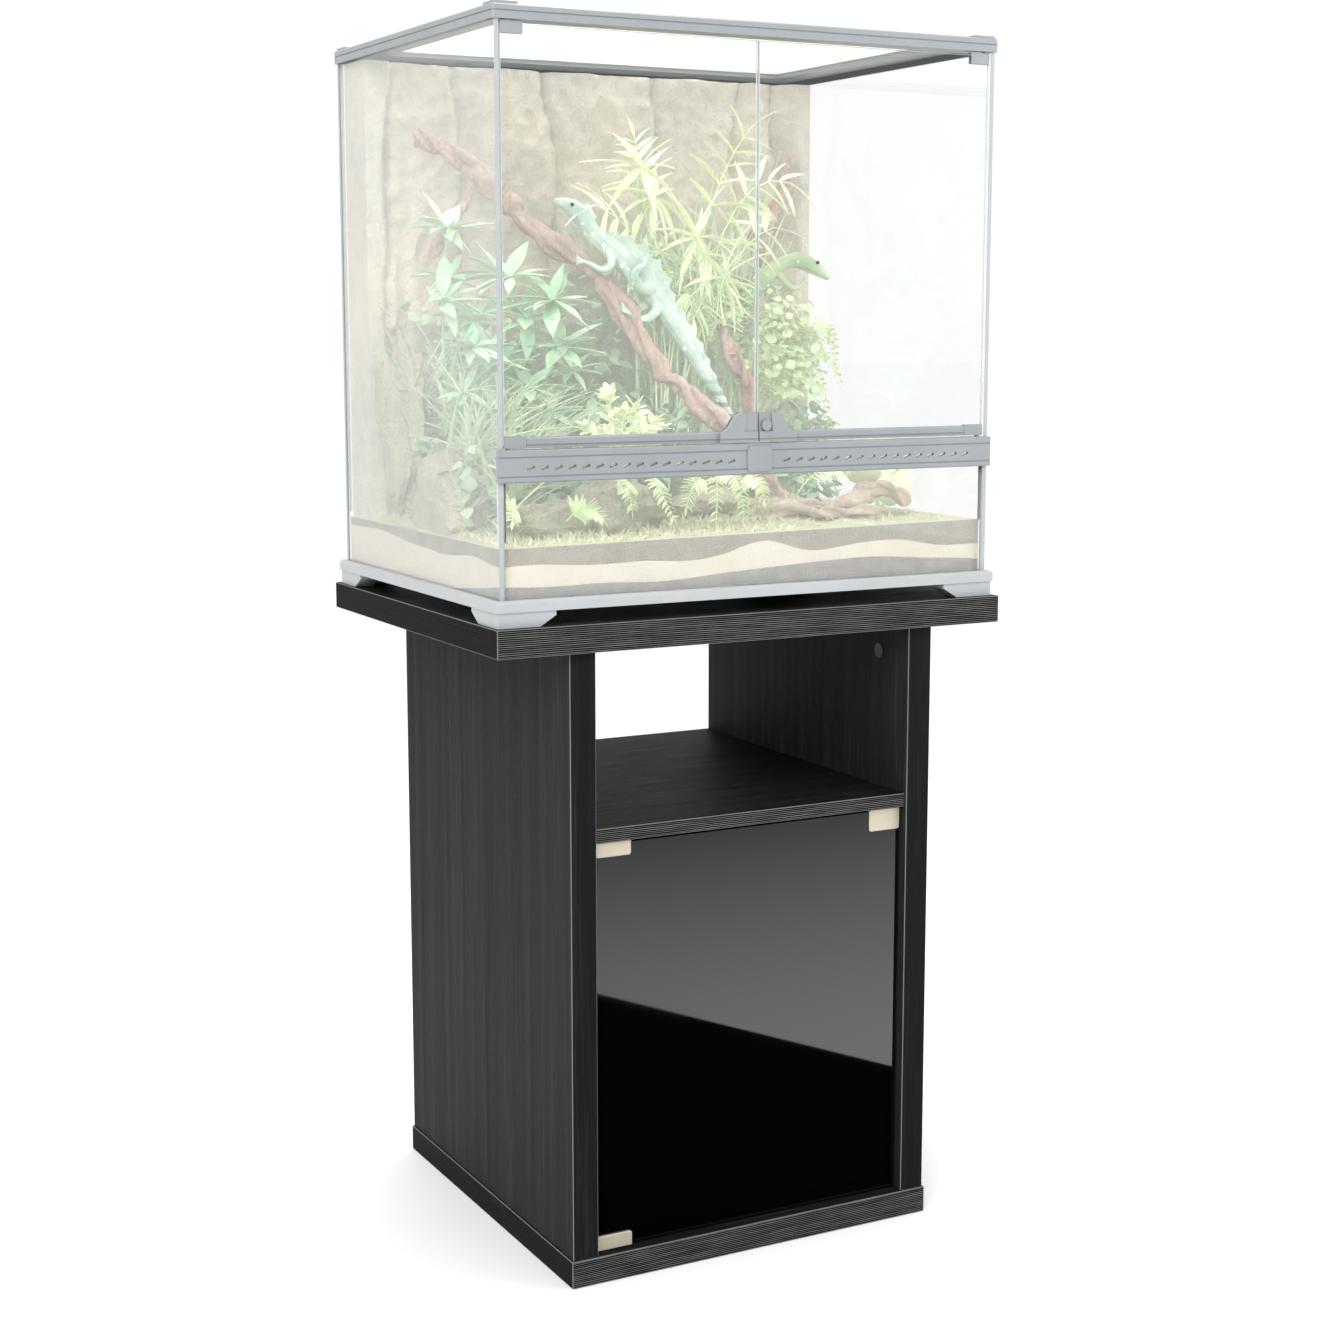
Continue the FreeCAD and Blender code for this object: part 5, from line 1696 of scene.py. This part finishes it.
# ---- glass ----------------------------------------------------------------------------------------
NOTCH_FRONT, NOTCH_BACK = -240.0, -200.0
NOTCH_LOW, NOTCH_HIGH = 890.0, 929.5


def thinnest(size: Vector) -> int:
    """The axis along which a sheet is thinnest."""
    return list(size).index(min(size))


@dataclass
class GlassPane:
    """A pane with seamed, ground edges that stands for a plain CAD pane."""

    node: str
    body: str
    edge: Finish = GROUND_EDGE
    notch: tuple[float, float] | None = None
    seam: float = 0.5

    def cut_notch(self, pane: bpy.types.Object) -> None:
        """Cut the corner away where the door's grip and lock go through.

        Args:
            pane: the pane, still square.
        """
        low, high = self.notch
        Bench.take()
        bpy.ops.mesh.primitive_cube_add(size=1.0)
        cutter = bpy.context.object
        ends = Vector((low, NOTCH_FRONT, NOTCH_LOW)) * MM, Vector((high, NOTCH_BACK, NOTCH_HIGH)) * MM
        cutter.location, cutter.scale = (ends[0] + ends[1]) / 2.0, ends[1] - ends[0]
        Bench.settle(cutter)
        modifier(pane, "BOOLEAN", operation="DIFFERENCE", object=cutter, solver="EXACT")
        Bench.settle(pane)
        Bench.discard(cutter)

    def build(self) -> None:
        """Cut the pane to the CAD size, take off its arrises and grind its edges."""
        low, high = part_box(self.node)
        size = high - low
        Bench.take()
        bpy.ops.mesh.primitive_cube_add(size=1.0, location=(low + high) / 2.0)
        pane = bpy.context.object
        pane.scale = size
        Bench.settle(pane)
        if self.notch:
            self.cut_notch(pane)
        modifier(pane, "BEVEL", width=self.seam * MM, segments=2)
        Bench.settle(pane)
        pane.name = pane.data.name = self.node + "_pane"
        settle_in(pane, GLASS, "clear_glass", self.node, body=self.body)
        pane.data.materials.append(self.edge.material)
        thin = thinnest(size)
        for face in pane.data.polygons:
            face.material_index = 0 if abs(face.normal[thin]) > 0.99 else 1


# ---- woven wire -----------------------------------------------------------------------------------
@dataclass
class WireMesh:
    """Woven steel mesh that stands for a plain CAD sheet."""

    node: str
    body: str
    pitch: float
    wire: float

    def build(self) -> None:
        """Lay two crossing rows of wires in the sheet's place."""
        low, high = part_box(self.node)
        size = high - low
        middle = (low + high) / 2.0
        thin = thinnest(size)
        runs = [axis for axis in range(3) if axis != thin]
        layers = []
        for run, across in (runs, runs[::-1]):
            Bench.take()
            bpy.ops.mesh.primitive_cylinder_add(vertices=4, radius=self.wire * MM, depth=size[run] - 0.0004)
            rod = bpy.context.object
            turn = Vector((0.0, 0.0, 1.0)).rotation_difference(Vector([1.0 if axis == run else 0.0
                                                                       for axis in range(3)]))
            rod.rotation_euler = turn.to_euler()
            count = int(size[across] / (self.pitch * MM))
            rod.location = middle
            rod.location[across] = middle[across] - (count - 1) * self.pitch * MM / 2.0
            rod.location[thin] += self.wire * MM * (0.45 if run == runs[0] else -0.45)
            Bench.settle(rod)
            step = [self.pitch * MM if axis == across else 0.0 for axis in range(3)]
            modifier(rod, "ARRAY", count=count, use_relative_offset=False, use_constant_offset=True,
                     constant_offset_displace=step)
            Bench.settle(rod)
            layers.append(rod)
        sheet = Bench.join(layers, self.node + "_wires")
        smooth(sheet, 30.0)
        settle_in(sheet, MESH_STEEL, "steel_mesh", self.node, body=self.body)


# ---- studio ---------------------------------------------------------------------------------------
@dataclass
class Studio:
    """Pale floor, soft light and the camera."""

    eye: Point = (-1.1929, -2.2665, 1.0275)
    turn: float = 28.05
    tilt: float = -8.26
    lens: float = 59.45
    rise: float = -0.02
    floor_size: float = 90.0
    backdrop: float = 1.05
    lights: tuple[tuple[str, Point, Point, float, float], ...] = (
        ("key", (-1.9, -2.0, 2.5), (0.0, 0.0, 0.7), 1.8, 55.0),
        ("fill", (2.3, -1.7, 1.6), (0.0, 0.0, 0.8), 1.6, 26.0),
        ("lid_light", (0.1, 0.3, 2.3), (0.0, 0.0, 0.9), 0.9, 22.0),
    )

    def build(self) -> None:
        """Set up everything round the object."""
        self.place_camera()
        self.lay_floor()
        self.light_world()
        for name, place, aim, size, power in self.lights:
            self.hang_light(name, Vector(place), Vector(aim), size, power)
        self.lay_flag()

    def place_camera(self) -> None:
        """The camera, level across and tilted slightly down."""
        data = bpy.data.cameras.new("camera")
        data.lens = self.lens
        data.shift_y = self.rise
        camera = bpy.data.objects.new("camera", data)
        camera.location = self.eye
        camera.rotation_euler = (math.radians(90.0 + self.tilt), 0.0, math.radians(-self.turn))
        bpy.context.scene.collection.objects.link(camera)
        bpy.context.scene.camera = camera

    def lay_floor(self) -> None:
        """A wide pale floor."""
        Bench.take()
        bpy.ops.mesh.primitive_grid_add(x_subdivisions=8, y_subdivisions=8, size=self.floor_size)
        floor = bpy.context.object
        floor.name = "studio_floor"
        floor.location.z = -0.0005
        floor.data.materials.append(self.dull("studio_floor", 0.985))

    def lay_flag(self) -> None:
        """Two cards by the floor that only mirrors see: painted reflections, dark and pale, for the glass
        door.
        """
        Bench.take()
        bpy.ops.mesh.primitive_plane_add(size=1.0, location=(0.0, 0.0, 0.0))
        flag = bpy.context.object
        flag.name = "studio_flag"
        corners = ((-0.6, -0.225), (0.655, -0.225), (0.259, -1.141), (-0.6, -1.9))
        for vertex, (x, y) in zip((2, 3, 1, 0), corners):
            flag.data.vertices[vertex].co = (x, y, 0.002)
        flag.data.materials.append(self.dull("flag_black", 0.0004))
        self.show_to_mirrors(flag)
        Bench.take()
        bpy.ops.mesh.primitive_plane_add(size=8.0, location=(1.0, -4.24, 0.001))
        card = bpy.context.object
        card.name = "studio_gradient_card"
        card.data.materials.append(self.fading_grey())
        self.show_to_mirrors(card)

    @staticmethod
    def show_to_mirrors(card: bpy.types.Object) -> None:
        """Let only reflections see a card."""
        card.visible_camera = card.visible_diffuse = card.visible_shadow = card.visible_transmission = False

    @staticmethod
    def dull(name: str, level: float) -> bpy.types.Material:
        """A grey card without any shine, very slightly uneven.

        Args:
            name: the material's name.
            level: how light it is.

        Returns:
            The material.
        """
        shader = Shader(name)
        grey = (level, level, level)
        shader.tint(shader.clouded(2.0, 1.0, shaded(grey, 0.98), grey).outputs["Colour"])
        shader.put(Specular_IOR_Level=0.0, Roughness=1.0)
        return shader.material

    def fading_grey(self) -> bpy.types.Material:
        """Light grey near the object, dark further off, for the glass door's soft shine.

        Returns:
            The material.
        """
        shader = Shader("fading_grey")
        ramp = shader.add("MapRange", {"Value": shader.split(shader.place)["Y"], "From Min": 3.54,
                                       "From Max": 1.9,
                                       "To Min": 0.64, "To Max": 0.1}).outputs["Result"]
        shares = {"Red": 0.96, "Green": 0.98, "Blue": 1.0}
        wires = {name: shader.math("MULTIPLY", ramp, share) for name, share in shares.items()}
        grey = shader.add("CombineColor", wires)
        shader.tint(grey.outputs[0])
        shader.put(Specular_IOR_Level=0.0, Roughness=1.0)
        return shader.material

    def light_world(self) -> None:
        """An even white surrounding."""
        world = bpy.data.worlds.new("studio")
        world.use_nodes = True
        background = world.node_tree.nodes["Background"]
        background.inputs[0].default_value = (1.0, 1.0, 1.0, 1.0)
        background.inputs[1].default_value = self.backdrop
        bpy.context.scene.world = world

    def hang_light(self, name: str, place: Vector, aim: Vector, size: float, power: float) -> None:
        """One soft square light.

        Args:
            name: the light's name.
            place: where it hangs.
            aim: the point it faces.
            size: its side, in metres.
            power: its strength, in watts.
        """
        data = bpy.data.lights.new(name, "AREA")
        data.shape = "SQUARE"
        data.size = size
        data.energy = power
        light = bpy.data.objects.new(name, data)
        light.location = place
        light.rotation_euler = (aim - place).to_track_quat("-Z", "Y").to_euler()
        bpy.context.scene.collection.objects.link(light)


WOODS = (
    TwistedWood("vine_wood", (
        ((-235, 138, 1235), (-205, 120, 1222), (-177, 100, 1198), (-158, 88, 1172), (-141, 76, 1150),
         (-91, 68, 1108),
         (-50, 42, 1072), (-24, 10, 1001), (4, -20, 955), (40, -46, 925), (88, -58, 898), (112, -64, 850),
         (130, -70, 812)),
        ((176, 70, 812), (166, 62, 900), (150, 62, 960), (128, 70, 1008), (132, 100, 1045), (176, 126, 1058),
         (214, 128, 1092), (196, 126, 1128), (220, 126, 1156), (244, 130, 1182), (256, 140, 1232)),
        ((-177, 104, 1198), (-190, 110, 1160), (-205, 130, 1128), (-215, 150, 1100)),
    ), (12.5, 9.0, 7.0), 4, 1.7, BARK, ("branch",), 3),
    TwistedWood("driftwood_piece", (
        ((60, -132, 806), (98, -130, 820), (144, -128, 814), (203, -122, 832), (239, -116, 834),
         (272, -110, 818)),
        ((120, -140, 816), (160, -150, 812), (206, -150, 816)),
    ), (11.0, 7.0), 4, 1.8, DRIFT, ("driftwood",), 9),
)
LIZARDS = (
    Lizard("green_basilisk", BASILISK, (
        (-110, 46, 1163, 3.4), (-101, 46, 1162, 6.2), (-88, 46, 1156, 10.2), (-76, 46, 1147, 11.4),
                                        (-68, 44, 1134, 9.6),
        (-58, 42, 1122, 10.4), (-42, 38, 1110, 13.0), (-22, 34, 1094, 14.5), (-2, 28, 1072, 14.5),
                                        (14, 22, 1048, 13.5),
        (28, 14, 1022, 11.0), (42, 6, 996, 9.0), (56, -2, 970, 7.0), (70, -12, 944, 5.4), (82, -22, 920, 4.0),
                                        (95, -34, 898, 2.0)),
        (((-50, 34, 1112, 5.4), (-44, 24, 1094, 4.8), (-58, 26, 1084, 3.8), (-72, 34, 1094, 3.0),
          (-80, 36, 1096, 1.8)),
         ((-38, 32, 1104, 5.4), (-30, 20, 1084, 4.4), (-22, 22, 1066, 3.4), (-16, 26, 1056, 1.8)),
         ((4, 22, 1066, 8.0), (-18, 10, 1062, 7.2), (-30, 10, 1082, 5.0), (-18, 8, 1090, 3.2),
          (-10, 10, 1096, 1.8)),
         ((12, 18, 1048, 7.0), (-4, 8, 1032, 5.4), (-22, 12, 1030, 3.8), (-34, 16, 1040, 2.0))),
        (0.0, 0.0, 7.0, 17.0, 8.0, 14.0, 27.0, 34.0, 32.0, 16.0, 20.0, 19.0, 13.0, 7.0, 3.0, 0.0),
           (-92.0, 36.4, 1159.0)),
    Lizard("dark_lizard", DARK_LIZARD, (
        (270, 66, 1080, 3.0), (260, 68, 1087, 6.6), (246, 70, 1096, 10.0), (230, 74, 1103, 10.4),
                                        (214, 80, 1100, 8.6),
        (196, 90, 1084, 11.0), (178, 98, 1062, 12.0), (164, 100, 1036, 9.0), (156, 96, 1008, 5.0),
                                        (152, 90, 976, 2.0)),
        (((204, 84, 1090, 5.0), (214, 74, 1072, 4.0), (228, 76, 1066, 3.0), (236, 78, 1072, 1.6)),),
        (), (250.0, 60.6, 1099.0)),
)
PANES = (GlassPane("left_glass", TANK), GlassPane("right_glass", TANK), GlassPane("back_glass", TANK),
         GlassPane("front_lower_glass", TANK), GlassPane("door_left_glass", "left_door", DOOR_EDGE_AND_HIGHLIGHT,
                                                         (-27.0, 10.0)),
         GlassPane("door_right_glass", "right_door", DOOR_EDGE_AND_HIGHLIGHT, (-10.0, 27.0)))
MESHES = (WireMesh("lid_mesh", "lid", 2.8, 0.19), WireMesh("vent_mesh", TANK, 1.2, 0.14))


# ---- main -----------------------------------------------------------------------------------------
def dress_frame() -> None:
    """Give every CAD node its finish."""
    for name, finish in CAD_FINISHES.items():
        finish.dress(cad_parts[name])
        LOG.info("dressed %s", name)


def main() -> None:
    """Build the studio, dress the frame and make every piece."""
    logging.basicConfig(level=logging.INFO, format="%(message)s")
    bpy.context.scene.view_settings.view_transform = "Standard"
    Studio().build()
    dress_frame()
    for sheet in (*PANES, *MESHES):
        sheet.build()
    GROUND.build()
    RockWork().build()
    for wood in WOODS:
        wood.build()
    Planting().build()
    for animal in LIZARDS:
        animal.build()


if __name__ == "__main__":
    main()
